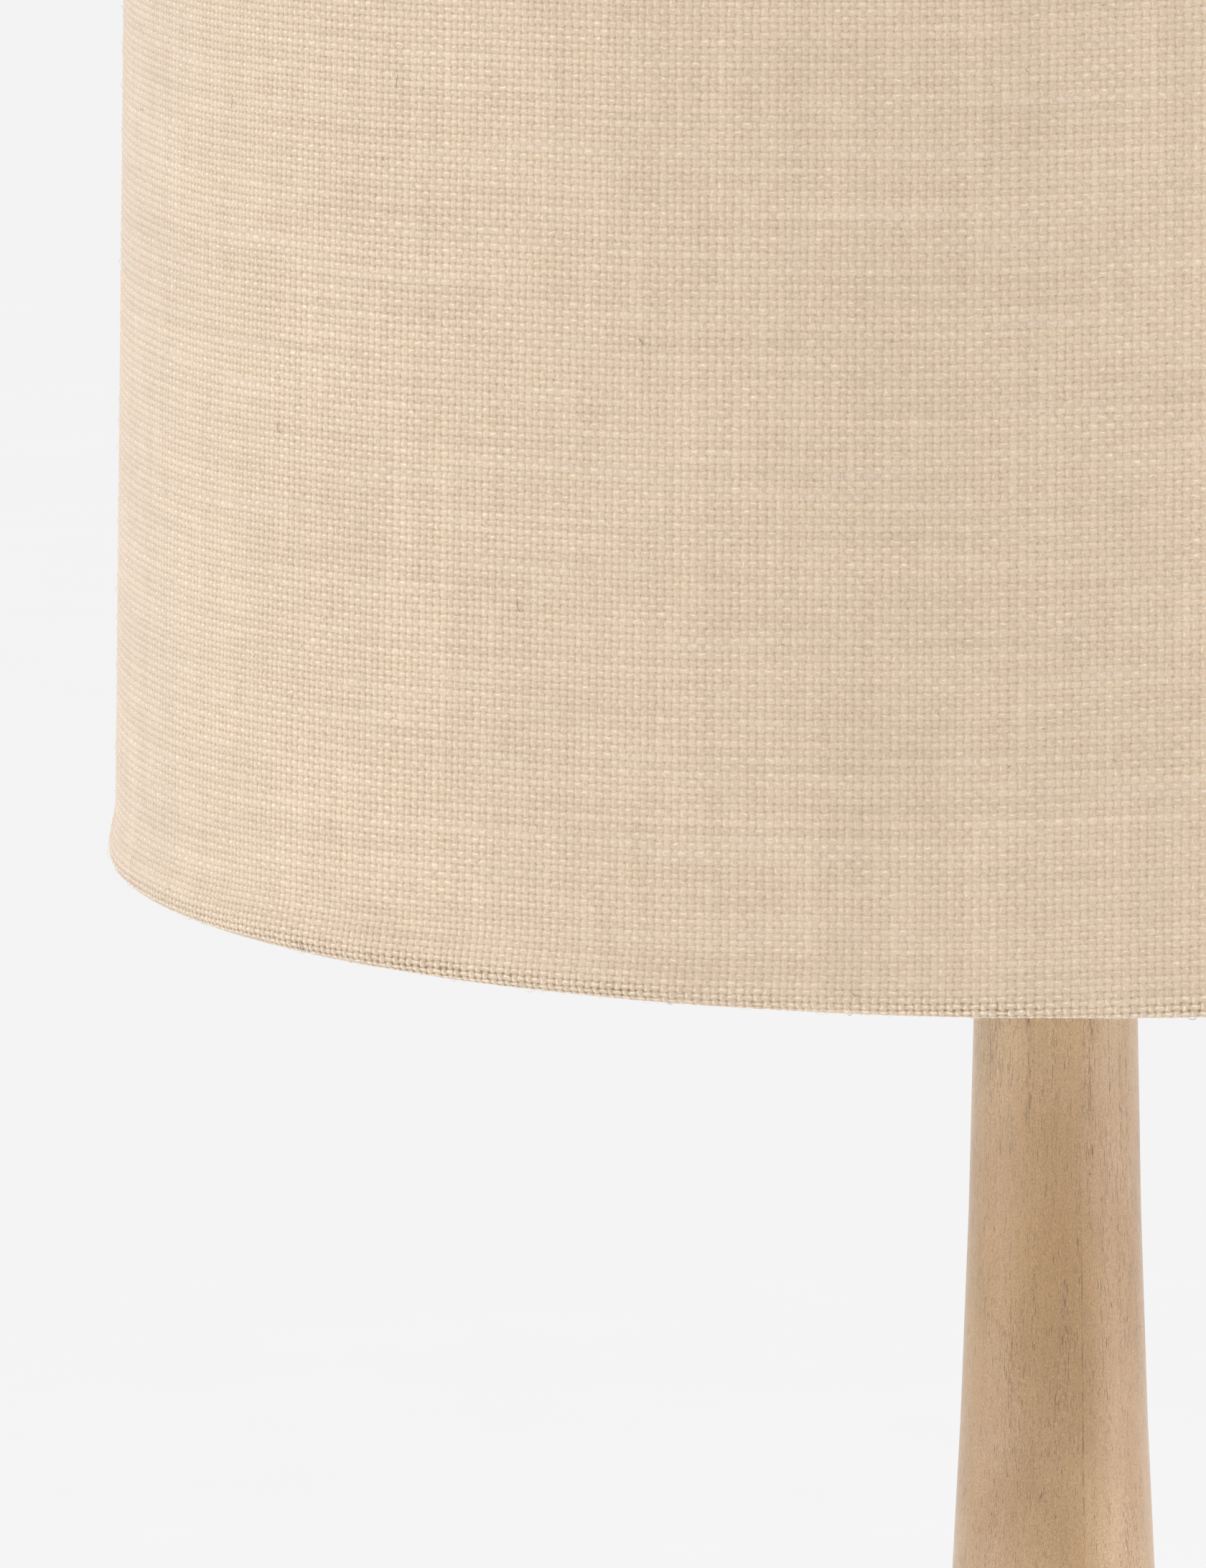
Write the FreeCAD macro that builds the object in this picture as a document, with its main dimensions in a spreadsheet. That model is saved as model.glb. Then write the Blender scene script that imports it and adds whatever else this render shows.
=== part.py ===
import FreeCAD, Part
import math
import os
import Sketcher
from FreeCAD import Placement, Rotation, Vector

# Tripod floor lamp with a drum shade.  Millimetres, floor at Z = 0, lamp axis on Z,
# front toward -Y.  Every driving dimension is a cell of the spreadsheet below.

DOC = FreeCAD.newDocument("tripod_floor_lamp")
SHEET = DOC.addObject("Spreadsheet::Sheet", "Dimensions")
NODES = []


class Size:
    """A number that also carries the spreadsheet formula it comes from."""

    def __init__(self, value, formula):
        self.value = float(value)
        self.formula = formula

    def combine(self, other, sign, value):
        return Size(value, f"({self.formula} {sign} {other.formula})")

    def __add__(self, other):
        other = as_size(other)
        return self.combine(other, "+", self.value + other.value)

    def __sub__(self, other):
        other = as_size(other)
        return self.combine(other, "-", self.value - other.value)

    def __mul__(self, other):
        other = as_size(other)
        return self.combine(other, "*", self.value * other.value)

    def __truediv__(self, other):
        other = as_size(other)
        return self.combine(other, "/", self.value / other.value)

    def __neg__(self):
        return Size(-self.value, f"(0 - {self.formula})")


def as_size(number):
    """Plain numbers become sizes with a constant formula."""
    if isinstance(number, Size):
        return number
    return Size(number, f"{number:.9g}")


def size(name, value):
    """Put one driving dimension in the next row of the sheet and return it."""
    size.row += 1
    SHEET.set(f"A{size.row}", name)
    SHEET.set(f"B{size.row}", str(value))
    SHEET.setAlias(f"B{size.row}", name)
    return Size(value, f"Dimensions.{name}")


size.row = 0

# Overall
rim_height = size("rim_height", 1240)
shade_height = size("shade_height", 305)

# Legs, which join into one round neck
neck_radius = size("neck_radius", 19.4)
neck_above_rim = size("neck_above_rim", 38)
flare_above_rim = size("flare_above_rim", 15)
flare_radius = size("flare_radius", 3590)
neck_bore_radius = size("neck_bore_radius", 5.6)
foot_reach = size("foot_reach", 243.99)
foot_thickness = size("foot_thickness", 27)
foot_width = size("foot_width", 24)
trim_top_width = size("trim_top_width", 54)
trim_top_height = size("trim_top_height", 1100)
leg_sector = size("leg_sector", 120)
leg_turn = size("leg_turn", -12)
inner_radius = size("inner_radius", 3600)
hollow_top = size("hollow_top", 815)
hollow_step = size("hollow_step", 15)
hollow_radius = size("hollow_radius", 13)
outer_round = size("outer_round", 5)
inner_round = size("inner_round", 3)
dowel_radius = size("dowel_radius", 3)
dowel_length = size("dowel_length", 20)
dowel_reach = size("dowel_reach", 14)
dowel_high = size("dowel_high", 1080)
dowel_low = size("dowel_low", 900)
dowel_slack = size("dowel_slack", 0.05)
glide_radius = size("glide_radius", 10)
glide_thickness = size("glide_thickness", 5)
nail_radius = size("nail_radius", 1.2)
nail_head_radius = size("nail_head_radius", 3.5)
nail_head_thickness = size("nail_head_thickness", 1)
nail_recess = size("nail_recess", 1.5)
nail_length = size("nail_length", 22)

# Pipe through the neck and its clamping stack
pipe_radius = size("pipe_radius", 5.15)
pipe_bore = size("pipe_bore", 3.5)
pipe_below_hollow = size("pipe_below_hollow", 20)
pipe_above_neck = size("pipe_above_neck", 14)
thread_slack = size("thread_slack", 0.05)
washer_radius = size("washer_radius", 12)
washer_thickness = size("washer_thickness", 2)
locknut_across = size("locknut_across", 17)
locknut_thickness = size("locknut_thickness", 5)
bushing_hole = size("bushing_hole", 2.6)
bushing_flange = size("bushing_flange", 6.5)
bushing_flange_thickness = size("bushing_flange_thickness", 3)
bushing_spigot = size("bushing_spigot", 9)
cap_radius = size("cap_radius", 17.5)
cap_thickness = size("cap_thickness", 3)
saddle_thickness = size("saddle_thickness", 1.6)
saddle_width = size("saddle_width", 19)
saddle_half_span = size("saddle_half_span", 29.6)
ear_height = size("ear_height", 25)
ear_shoulder = size("ear_shoulder", 9)
ear_half_width = size("ear_half_width", 3)
saddle_nut_across = size("saddle_nut_across", 14)
saddle_nut_thickness = size("saddle_nut_thickness", 3)

# Socket and switch
hub_radius = size("hub_radius", 8)
hub_height = size("hub_height", 6)
socket_cap_radius = size("socket_cap_radius", 20.5)
socket_cap_height = size("socket_cap_height", 20.4)
socket_cap_cone = size("socket_cap_cone", 11.4)
socket_seat = size("socket_seat", 12.4)
shell_radius = size("shell_radius", 19.5)
shell_wall = size("shell_wall", 0.5)
shell_height = size("shell_height", 47)
sleeve_paper_radius = size("sleeve_paper_radius", 18.7)
sleeve_paper_wall = size("sleeve_paper_wall", 0.7)
socket_body_radius = size("socket_body_radius", 17.5)
socket_body_height = size("socket_body_height", 24)
screw_shell_radius = size("screw_shell_radius", 13.9)
screw_shell_wall = size("screw_shell_wall", 0.6)
screw_shell_height = size("screw_shell_height", 23)
contact_radius = size("contact_radius", 4.5)
contact_height = size("contact_height", 2)
set_screw_radius = size("set_screw_radius", 1.5)
set_screw_length = size("set_screw_length", 3.6)
switch_rise = size("switch_rise", 15)
switch_radius = size("switch_radius", 2.5)
switch_inner_end = size("switch_inner_end", 9)
switch_outer_end = size("switch_outer_end", 30)
knob_start = size("knob_start", 21)
knob_collar = size("knob_collar", 4)
knob_length = size("knob_length", 10)
knob_collar_radius = size("knob_collar_radius", 5)
knob_half_width = size("knob_half_width", 8)
knob_half_thickness = size("knob_half_thickness", 3.6)

# Bulb
bulb_cap_radius = size("bulb_cap_radius", 13)
bulb_cap_height = size("bulb_cap_height", 24)
bulb_thread_depth = size("bulb_thread_depth", 0.7)
bulb_thread_pitch = size("bulb_thread_pitch", 3.6)
bulb_tip_height = size("bulb_tip_height", 2)
bulb_housing_height = size("bulb_housing_height", 36)
bulb_radius = size("bulb_radius", 30)
bulb_globe_rise = size("bulb_globe_rise", 15)

# Harp
wire_radius = size("wire_radius", 1.45)
harp_lower_half = size("harp_lower_half", 31.05)
harp_foot = size("harp_foot", 1284)
harp_straight = size("harp_straight", 36)
harp_out_radius = size("harp_out_radius", 22)
harp_side_radius = size("harp_side_radius", 170)
harp_corner_radius = size("harp_corner_radius", 20)
harp_top_half = size("harp_top_half", 9)
harp_top_drop = size("harp_top_drop", 23.5)
harp_sleeve_offset = size("harp_sleeve_offset", 30.2)
harp_sleeve_bore = size("harp_sleeve_bore", 4.1)
harp_sleeve_radius = size("harp_sleeve_radius", 4.9)
harp_sleeve_length = size("harp_sleeve_length", 12)
collar_radius = size("collar_radius", 7)
collar_height = size("collar_height", 9)
stud_radius = size("stud_radius", 3.1)
stud_length = size("stud_length", 15)

# Shade
shade_radius = size("shade_radius", 227.1)
shade_taper = size("shade_taper", 0.0139)
cloth_thickness = size("cloth_thickness", 0.9)
liner_thickness = size("liner_thickness", 0.5)
hem_bulge = size("hem_bulge", 1.5)
hem_height = size("hem_height", 14)
hem_inside = size("hem_inside", 13)
ring_radius = size("ring_radius", 1.5)
ring_gap = size("ring_gap", 0.1)
hem_turn = size("hem_turn", 1)
seam_angle = size("seam_angle", 3)
seam_turn = size("seam_turn", 90)
spider_drop = size("spider_drop", 19)
spider_washer_radius = size("spider_washer_radius", 11)
spider_washer_hole = size("spider_washer_hole", 3.4)
spider_washer_thickness = size("spider_washer_thickness", 1.5)
arm_start = size("arm_start", 10.2)
arm_turn = size("arm_turn", 90)

# Finial
finial_base_radius = size("finial_base_radius", 7.5)
finial_waist_radius = size("finial_waist_radius", 4.8)
finial_ball_radius = size("finial_ball_radius", 8)
finial_height = size("finial_height", 26)
finial_hole_depth = size("finial_hole_depth", 14.5)

DOC.recompute()

# Heights that follow from the sizes above
neck_top = rim_height + neck_above_rim
flare_height = rim_height + flare_above_rim
shade_top = rim_height + shade_height
spider_seat = shade_top - spider_drop
harp_top = shade_top - harp_top_drop
cap_top = neck_top + cap_thickness
saddle_top = cap_top + saddle_thickness
socket_base = saddle_top + saddle_nut_thickness
seat_height = socket_base + socket_seat
body_top = seat_height + socket_body_height
switch_height = seat_height + switch_rise
bulb_foot = body_top + contact_height
pipe_foot = hollow_top - pipe_below_hollow


def new_body(label):
    """An empty body whose label is the node name."""
    body = DOC.addObject("PartDesign::Body", label)
    body.Label = label
    return body


def own_plane(body, role):
    """One of the body's own origin planes, found by its role."""
    for item in body.Origin.OriginFeatures:
        if item.Role == role:
            return item
    raise ValueError(role)


def new_sketch(body, role, offset=None, turn=None):
    """A sketch on an origin plane, moved along its normal or turned about its upright."""
    sketch = body.newObject("Sketcher::SketchObject", f"{body.Name}_sketch")
    sketch.AttachmentSupport = (own_plane(body, role), [""])
    sketch.MapMode = "FlatFace"
    if offset is not None:
        sketch.AttachmentOffset = Placement(Vector(0, 0, offset.value), Rotation())
        sketch.setExpression("AttachmentOffset.Base.z", offset.formula)
    if turn is not None:
        spin = Rotation(Vector(0, 1, 0), turn.value)
        sketch.AttachmentOffset = Placement(Vector(0, 0, 0), spin)
    return sketch


def bind(sketch, rule, formula):
    """Add one dimensional constraint and drive it from the sheet."""
    number = sketch.addConstraint(rule)
    sketch.setExpression(f"Constraints[{number}]", formula)


def pin(sketch, side, end, point):
    """Tie one end of a side to a point given by two sizes."""
    for axis, word, place in ((-2, "DistanceX", point[0]), (-1, "DistanceY", point[1])):
        place = as_size(place)
        if place.value == 0:
            sketch.addConstraint(Sketcher.Constraint("PointOnObject", side, end, axis))
        else:
            rule = Sketcher.Constraint(word, -1, 1, side, end, place.value)
            bind(sketch, rule, place.formula)


def flat(point):
    """A sketch point as a vector."""
    return Vector(as_size(point[0]).value, as_size(point[1]).value, 0)


def arc_between(start, end, radius, side):
    """The shorter arc from start to end, its centre to the left (+1) or right (-1)."""
    chord = end - start
    reach = math.sqrt(radius ** 2 - chord.Length ** 2 / 4)
    across = Vector(-chord.y, chord.x, 0).normalize()
    centre = (start + end) / 2 + across * reach * side
    first = math.atan2(start.y - centre.y, start.x - centre.x)
    last = math.atan2(end.y - centre.y, end.x - centre.x)
    if side < 0:
        first, last = last, first
    if last < first:
        last += 2 * math.pi
    circle = Part.Circle(centre, Vector(0, 0, 1), radius)
    return Part.ArcOfCircle(circle, first, last)


def draw_loop(sketch, corners, bends=None):
    """A closed outline; bends maps a side's number to its (radius, side of the centre)."""
    bends = bends or {}
    count = len(corners)
    first = sketch.GeometryCount
    for index in range(count):
        start = flat(corners[index])
        end = flat(corners[(index + 1) % count])
        if index in bends:
            radius, way = bends[index]
            shape = arc_between(start, end, radius.value, way)
        else:
            shape = Part.LineSegment(start, end)
        sketch.addGeometry(shape, False)
    for index in range(count):
        after = (index + 1) % count
        leave = 1 if index in bends and bends[index][1] < 0 else 2
        enter = 2 if after in bends and bends[after][1] < 0 else 1
        rule = Sketcher.Constraint("Coincident", first + index, leave, first + after, enter)
        sketch.addConstraint(rule)
        pin(sketch, first + after, enter, corners[after])
    for index, (radius, way) in bends.items():
        rule = Sketcher.Constraint("Radius", first + index, radius.value)
        bind(sketch, rule, radius.formula)


def draw_circle(sketch, centre, radius):
    """A circle with its centre and radius tied to sizes."""
    shape = Part.Circle(flat(centre), Vector(0, 0, 1), radius.value)
    side = sketch.addGeometry(shape, False)
    if as_size(centre[0]).value == 0 and as_size(centre[1]).value == 0:
        sketch.addConstraint(Sketcher.Constraint("Coincident", side, 3, -1, 1))
    else:
        pin(sketch, side, 3, centre)
    bind(sketch, Sketcher.Constraint("Radius", side, radius.value), radius.formula)


def revolve(body, sketch, angle=None):
    """Turn a sketch about the body's Z axis, all the way or through a centred angle."""
    feature = body.newObject("PartDesign::Revolution", f"{body.Name}_turn")
    feature.Profile = (sketch, [""])
    feature.ReferenceAxis = (sketch, ["V_Axis"])
    feature.Angle = 360
    if angle is not None:
        feature.Midplane = True
        feature.Angle = angle.value
        feature.setExpression("Angle", angle.formula)
    sketch.Visibility = False
    return feature


def pad(body, sketch, length, middle=False, back=False):
    """Raise a sketch by a length."""
    feature = body.newObject("PartDesign::Pad", f"{body.Name}_pad")
    feature.Profile = (sketch, [""])
    feature.Midplane = middle
    feature.Reversed = back
    feature.Length = length.value
    feature.setExpression("Length", length.formula)
    sketch.Visibility = False
    return feature


def pocket(body, sketch, length=None, middle=False, back=False):
    """Cut a sketch out, to a length or right through."""
    DOC.recompute()
    before = body.Shape.Volume
    feature = body.newObject("PartDesign::Pocket", f"{body.Name}_pocket")
    feature.Profile = (sketch, [""])
    feature.Midplane = middle
    feature.Reversed = back
    if length is None:
        feature.Type = "ThroughAll"
    else:
        feature.Length = length.value
        feature.setExpression("Length", length.formula)
    sketch.Visibility = False
    DOC.recompute()
    if not feature.Shape.Volume < before:
        raise ValueError(f"{feature.Name} removed nothing")
    return feature


def round_edges(body, base, radius, wanted):
    """Round the edges of a feature that pass a test."""
    DOC.recompute()
    edges = base.Shape.Edges
    names = [f"Edge{number + 1}" for number, edge in enumerate(edges) if wanted(edge)]
    feature = body.newObject("PartDesign::Fillet", f"{body.Name}_round")
    feature.Base = (base, names)
    feature.Radius = radius.value
    feature.setExpression("Radius", radius.formula)
    DOC.recompute()
    return feature


def node(item, label):
    """Name an object as a node that is exported."""
    item.Label = label
    NODES.append(item)
    return item


def turned(label, corners, bends=None, angle=None):
    """A body turned about Z from (radius, height) corners."""
    body = new_body(label)
    sketch = new_sketch(body, "XZ_Plane")
    draw_loop(sketch, corners, bends)
    revolve(body, sketch, angle)
    return body


def tube(label, inner, outer, low, high):
    """A plain turned tube."""
    corners = [(inner, low), (outer, low), (outer, high), (inner, high)]
    return turned(label, corners)


def place(item, along=0, height=0, turn=None, shift=None):
    """Stand an object at a reach from the lamp's axis, turned about it."""
    reach = as_size(along)
    height = as_size(height)
    angle = as_size(0) if turn is None else turn
    spin = Rotation(Vector(0, 0, 1), angle.value)
    spot = spin.multVec(Vector(reach.value, 0, height.value))
    item.Placement = Placement(spot, spin)
    item.setExpression("Placement.Base.x", f"{reach.formula} * cos({angle.formula} * 1 deg)")
    item.setExpression("Placement.Base.y", f"{reach.formula} * sin({angle.formula} * 1 deg)")
    item.setExpression("Placement.Base.z", height.formula)
    item.setExpression("Placement.Rotation.Angle", f"{angle.formula} * 1 deg")
    return item


def group(label, items):
    """Several equal pieces as one node."""
    bundle = DOC.addObject("Part::Compound", label)
    bundle.Links = items
    for item in items:
        item.Visibility = False
    return node(bundle, label)


def leg_angle(index):
    """The direction of one leg's middle plane."""
    return leg_turn + leg_sector * index


def leg_profile():
    """The leg's section on its middle plane, from the bore round to the foot."""
    hollow_low = hollow_top - hollow_step
    foot_inner = foot_reach - foot_thickness
    edge = as_size(1)
    corners = [
        (neck_bore_radius, neck_top),
        (neck_bore_radius, hollow_top),
        (hollow_radius, hollow_top),
        (hollow_radius, hollow_low),
        (foot_inner, glide_thickness),
        (foot_reach, glide_thickness),
        (neck_radius, flare_height),
        (neck_radius, neck_top - edge),
        (neck_radius - edge, neck_top),
    ]
    bends = {3: (inner_radius, 1), 5: (flare_radius, -1)}
    return corners, bends


def trim_loop(sketch, side):
    """One side cut of a leg, which leaves a slab that narrows to the foot."""
    far = as_size(320 * side)
    corners = [
        (foot_width * (side / 2), 0),
        (trim_top_width * (side / 2), trim_top_height),
        (far, trim_top_height),
        (far, 0),
    ]
    draw_loop(sketch, corners)


def long_edge(edge, outside):
    """Whether an edge is one of the slab's long edges, outer pair or inner pair."""
    box = edge.BoundBox
    if box.ZMax - box.ZMin < 500 or box.XMax < 150:
        return False
    return (box.XMax > foot_reach.value - 10) == outside


def leg(index, label):
    """One curved leg: a sector of the neck at the top, a narrow slab at the foot."""
    body = new_body(label)
    section = new_sketch(body, "XZ_Plane")
    draw_loop(section, *leg_profile())
    revolve(body, section, leg_sector)
    trims = new_sketch(body, "YZ_Plane")
    trim_loop(trims, 1)
    trim_loop(trims, -1)
    shaped = pocket(body, trims, back=True)
    rounded = round_edges(body, shaped, outer_round, lambda edge: long_edge(edge, True))
    round_edges(body, rounded, inner_round, lambda edge: long_edge(edge, False))
    for side in (0.5, -0.5):
        holes = new_sketch(body, "XZ_Plane", turn=leg_sector * side)
        for height in (dowel_high, dowel_low):
            draw_circle(holes, (dowel_reach, height), dowel_radius + dowel_slack)
        pocket(body, holes, dowel_length + dowel_slack * 2, middle=True)
    nail_hole = new_sketch(body, "XY_Plane")
    draw_circle(nail_hole, (foot_reach - foot_thickness / 2, 0), nail_radius)
    pocket(body, nail_hole, nail_length + nail_recess + dowel_slack * 2, back=True)
    place(body, turn=leg_angle(index))
    return node(body, label)


def dowel(index, height):
    """One dowel across the glue plane between two legs."""
    pin_rod = DOC.addObject("Part::Cylinder", "dowel")
    pin_rod.Radius = dowel_radius.value
    pin_rod.setExpression("Radius", dowel_radius.formula)
    pin_rod.Height = dowel_length.value
    pin_rod.setExpression("Height", dowel_length.formula)
    angle = leg_angle(index) + leg_sector / 2
    half = dowel_length / 2
    turn = math.radians(angle.value)
    spot_x = dowel_reach.value * math.cos(turn) + half.value * math.sin(turn)
    spot_y = dowel_reach.value * math.sin(turn) - half.value * math.cos(turn)
    lay = Rotation(Vector(0, 0, 1), angle.value).multiply(Rotation(Vector(1, 0, 0), -90))
    pin_rod.Placement = Placement(Vector(spot_x, spot_y, height.value), lay)
    cosine = f"cos({angle.formula} * 1 deg)"
    sine = f"sin({angle.formula} * 1 deg)"
    reach = dowel_reach.formula
    pin_rod.setExpression("Placement.Base.x", f"{reach} * {cosine} + {half.formula} * {sine}")
    pin_rod.setExpression("Placement.Base.y", f"{reach} * {sine} - {half.formula} * {cosine}")
    pin_rod.setExpression("Placement.Base.z", height.formula)
    return pin_rod


def glide(index):
    """A round foot glide with a recess for its nail."""
    head_top = nail_recess + nail_head_thickness
    corners = [
        (nail_radius, glide_thickness),
        (nail_radius, head_top),
        (nail_head_radius, head_top),
        (nail_head_radius, 0),
        (glide_radius - 1, 0),
        (glide_radius, 1),
        (glide_radius, glide_thickness),
    ]
    body = turned(f"glide_{index + 1}", corners)
    return place(body, along=foot_reach - foot_thickness / 2, turn=leg_angle(index))


def nail(index):
    """The nail that holds a glide."""
    head_top = nail_recess + nail_head_thickness
    tip = nail_recess + nail_length
    corners = [
        (0, nail_recess),
        (nail_head_radius, nail_recess),
        (nail_head_radius, head_top),
        (nail_radius, head_top),
        (nail_radius, tip - 3),
        (0, tip),
    ]
    body = turned(f"nail_{index + 1}", corners)
    return place(body, along=foot_reach - foot_thickness / 2, turn=leg_angle(index))


def hex_nut(label, across, low, thickness):
    """A hexagon nut on the pipe."""
    body = new_body(label)
    sketch = new_sketch(body, "XY_Plane", offset=low)
    half = across / 2
    corner = across * (1 / math.sqrt(3))
    corners = [
        (corner, 0),
        (corner / 2, half),
        (-corner / 2, half),
        (-corner, 0),
        (-corner / 2, -half),
        (corner / 2, -half),
    ]
    draw_loop(sketch, corners)
    draw_circle(sketch, (0, 0), pipe_radius + thread_slack)
    pad(body, sketch, thickness)
    return node(body, label)


def lamp_pipe():
    """The threaded pipe that clamps the neck and carries the socket."""
    chamfer = as_size(0.6)
    top = neck_top + pipe_above_neck
    corners = [
        (pipe_bore, pipe_foot),
        (pipe_radius - chamfer, pipe_foot),
        (pipe_radius, pipe_foot + chamfer),
        (pipe_radius, top - chamfer),
        (pipe_radius - chamfer, top),
        (pipe_bore, top),
    ]
    return node(turned("lamp_pipe", corners), "lamp_pipe")


def cord_bushing():
    """The smooth plastic inlet at the lower end of the pipe."""
    low = pipe_foot - bushing_flange_thickness
    spigot = pipe_bore - thread_slack
    corners = [
        (bushing_hole, low),
        (bushing_flange - 1, low),
        (bushing_flange, low + 1),
        (bushing_flange, pipe_foot),
        (spigot, pipe_foot),
        (spigot, pipe_foot + bushing_spigot),
        (bushing_hole, pipe_foot + bushing_spigot),
    ]
    return node(turned("cord_bushing", corners), "cord_bushing")


def neck_cap():
    """The metal disc that covers the top of the neck."""
    corners = [
        (pipe_radius + thread_slack, neck_top),
        (cap_radius, neck_top),
        (cap_radius, cap_top - 0.8),
        (cap_radius - 0.8, cap_top),
        (pipe_radius + thread_slack, cap_top),
    ]
    return node(turned("neck_cap", corners), "neck_cap")


def harp_saddle():
    """The bent strip whose two ears hold the harp."""
    body = new_body("harp_saddle")
    strip = new_sketch(body, "XZ_Plane")
    inner = saddle_half_span - saddle_thickness
    ear_top = saddle_top + ear_height
    corners = [
        (-saddle_half_span, cap_top),
        (saddle_half_span, cap_top),
        (saddle_half_span, ear_top),
        (inner, ear_top),
        (inner, saddle_top),
        (-inner, saddle_top),
        (-inner, ear_top),
        (-saddle_half_span, ear_top),
    ]
    draw_loop(strip, corners)
    pad(body, strip, saddle_width, middle=True)
    shoulders = new_sketch(body, "YZ_Plane")
    for side in (1, -1):
        far = saddle_width * (side * 0.6)
        near = ear_half_width * side
        low = saddle_top + ear_shoulder
        wide = saddle_width * (side / 2)
        draw_loop(shoulders, [
            (near, low),
            (near, ear_top + 2),
            (far, ear_top + 2),
            (far, low - ear_shoulder / 2),
            (wide, low - ear_shoulder / 2),
            (near * 2, low),
        ])
    pocket(body, shoulders, saddle_half_span * 3, middle=True)
    hole = new_sketch(body, "XY_Plane", offset=cap_top)
    draw_circle(hole, (0, 0), pipe_radius + thread_slack)
    pocket(body, hole, saddle_thickness * 3, middle=True)
    return node(body, "harp_saddle")


def side_hole(body, radius, inner_end=None):
    """A round hole for the switch shaft, out through the front of a socket piece."""
    if inner_end is None:
        sketch = new_sketch(body, "XZ_Plane")
    else:
        sketch = new_sketch(body, "XZ_Plane", offset=inner_end)
    draw_circle(sketch, (0, switch_height), radius)
    pocket(body, sketch, shell_radius * 2, back=True)


def socket_cap():
    """The cup at the foot of the socket, screwed on the pipe."""
    bore = pipe_radius + thread_slack
    hub_top = socket_base + hub_height
    cone_top = socket_base + socket_cap_cone
    rim = socket_base + socket_cap_height
    inside = shell_radius + thread_slack
    corners = [
        (bore, socket_base),
        (hub_radius, socket_base),
        (hub_radius, hub_top),
        (socket_cap_radius, cone_top),
        (socket_cap_radius, rim),
        (inside, rim),
        (inside, seat_height),
        (socket_body_radius - 2.5, seat_height),
        (hub_radius, hub_top + 1.2),
        (bore, hub_top + 1.2),
    ]
    body = turned("socket_cap", corners)
    hole = new_sketch(body, "XZ_Plane")
    draw_circle(hole, (0, socket_base + hub_height / 2), set_screw_radius)
    pocket(body, hole, hub_radius + 2)
    return node(body, "socket_cap")


def set_screw():
    """The slotted grub screw that locks the cap to the pipe."""
    body = new_body("socket_set_screw")
    start = pipe_radius + thread_slack
    sketch = new_sketch(body, "XZ_Plane", offset=-start)
    draw_circle(sketch, (0, socket_base + hub_height / 2), set_screw_radius)
    pad(body, sketch, set_screw_length, back=True)
    slot = new_sketch(body, "XZ_Plane", offset=-(start + set_screw_length))
    middle = socket_base + hub_height / 2
    wide = set_screw_radius * 1.5
    thin = as_size(0.3)
    draw_loop(slot, [
        (-wide, middle - thin),
        (wide, middle - thin),
        (wide, middle + thin),
        (-wide, middle + thin),
    ])
    pocket(body, slot, as_size(1.6), middle=True)
    return node(body, "socket_set_screw")


def socket_shell():
    """The thin metal shell of the socket, with a bead near its mouth."""
    inner = shell_radius - shell_wall
    top = seat_height + shell_height
    bead = as_size(0.8)
    corners = [
        (inner, seat_height),
        (shell_radius, seat_height),
        (shell_radius, top - 6),
        (shell_radius + bead, top - 5),
        (shell_radius + bead, top - 3),
        (shell_radius, top - 2),
        (shell_radius, top),
        (inner, top),
    ]
    body = turned("socket_shell", corners)
    side_hole(body, switch_radius + 0.8)
    return node(body, "socket_shell")


def insulating_sleeve():
    """The card sleeve inside the shell."""
    inner = sleeve_paper_radius - sleeve_paper_wall
    top = seat_height + shell_height - 1.5
    body = tube("insulating_sleeve", inner, sleeve_paper_radius, seat_height, top)
    side_hole(body, switch_radius + 0.8)
    return node(body, "insulating_sleeve")


def socket_body():
    """The moulded block with the switch inside."""
    edge = as_size(1)
    corners = [
        (0, seat_height),
        (socket_body_radius, seat_height),
        (socket_body_radius, body_top - edge),
        (socket_body_radius - edge, body_top),
        (0, body_top),
    ]
    body = turned("socket_body", corners)
    side_hole(body, switch_radius + thread_slack, switch_inner_end)
    return node(body, "socket_body")


def screw_shell():
    """The brass cup that takes the bulb."""
    inner = screw_shell_radius - screw_shell_wall
    floor = body_top + 0.8
    top = body_top + screw_shell_height
    hole = contact_radius + 1.5
    corners = [
        (hole, body_top),
        (screw_shell_radius, body_top),
        (screw_shell_radius, top),
        (inner, top),
        (inner, floor),
        (hole, floor),
    ]
    return node(turned("screw_shell", corners), "screw_shell")


def disc(label, radius, low, high):
    """A plain solid disc on the axis."""
    return node(turned(label, [(0, low), (radius, low), (radius, high), (0, high)]), label)


def switch_shaft():
    """The turning shaft of the switch, pointing to the front."""
    body = new_body("switch_shaft")
    sketch = new_sketch(body, "XZ_Plane", offset=switch_inner_end + 0.2)
    draw_circle(sketch, (0, switch_height), switch_radius)
    pad(body, sketch, switch_outer_end - switch_inner_end - 0.2)
    return node(body, "switch_shaft")


def switch_knob():
    """The flat-sided knob on the switch shaft."""
    body = new_body("switch_knob")
    round_end = new_sketch(body, "XZ_Plane", offset=knob_start)
    draw_circle(round_end, (0, switch_height), knob_collar_radius)
    pad(body, round_end, knob_collar)
    paddle = new_sketch(body, "XZ_Plane", offset=knob_start + knob_collar)
    thin = knob_half_thickness
    low = switch_height - knob_half_width
    high = switch_height + knob_half_width
    corners = [(thin, low + thin), (thin, high - thin), (-thin, high - thin), (-thin, low + thin)]
    draw_loop(paddle, corners, {1: (thin * 1.02, 1), 3: (thin * 1.02, 1)})
    pad(body, paddle, knob_length)
    hole = new_sketch(body, "XZ_Plane", offset=knob_start)
    draw_circle(hole, (0, switch_height), switch_radius)
    pocket(body, hole, switch_outer_end - knob_start, back=True)
    return node(body, "switch_knob")


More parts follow.
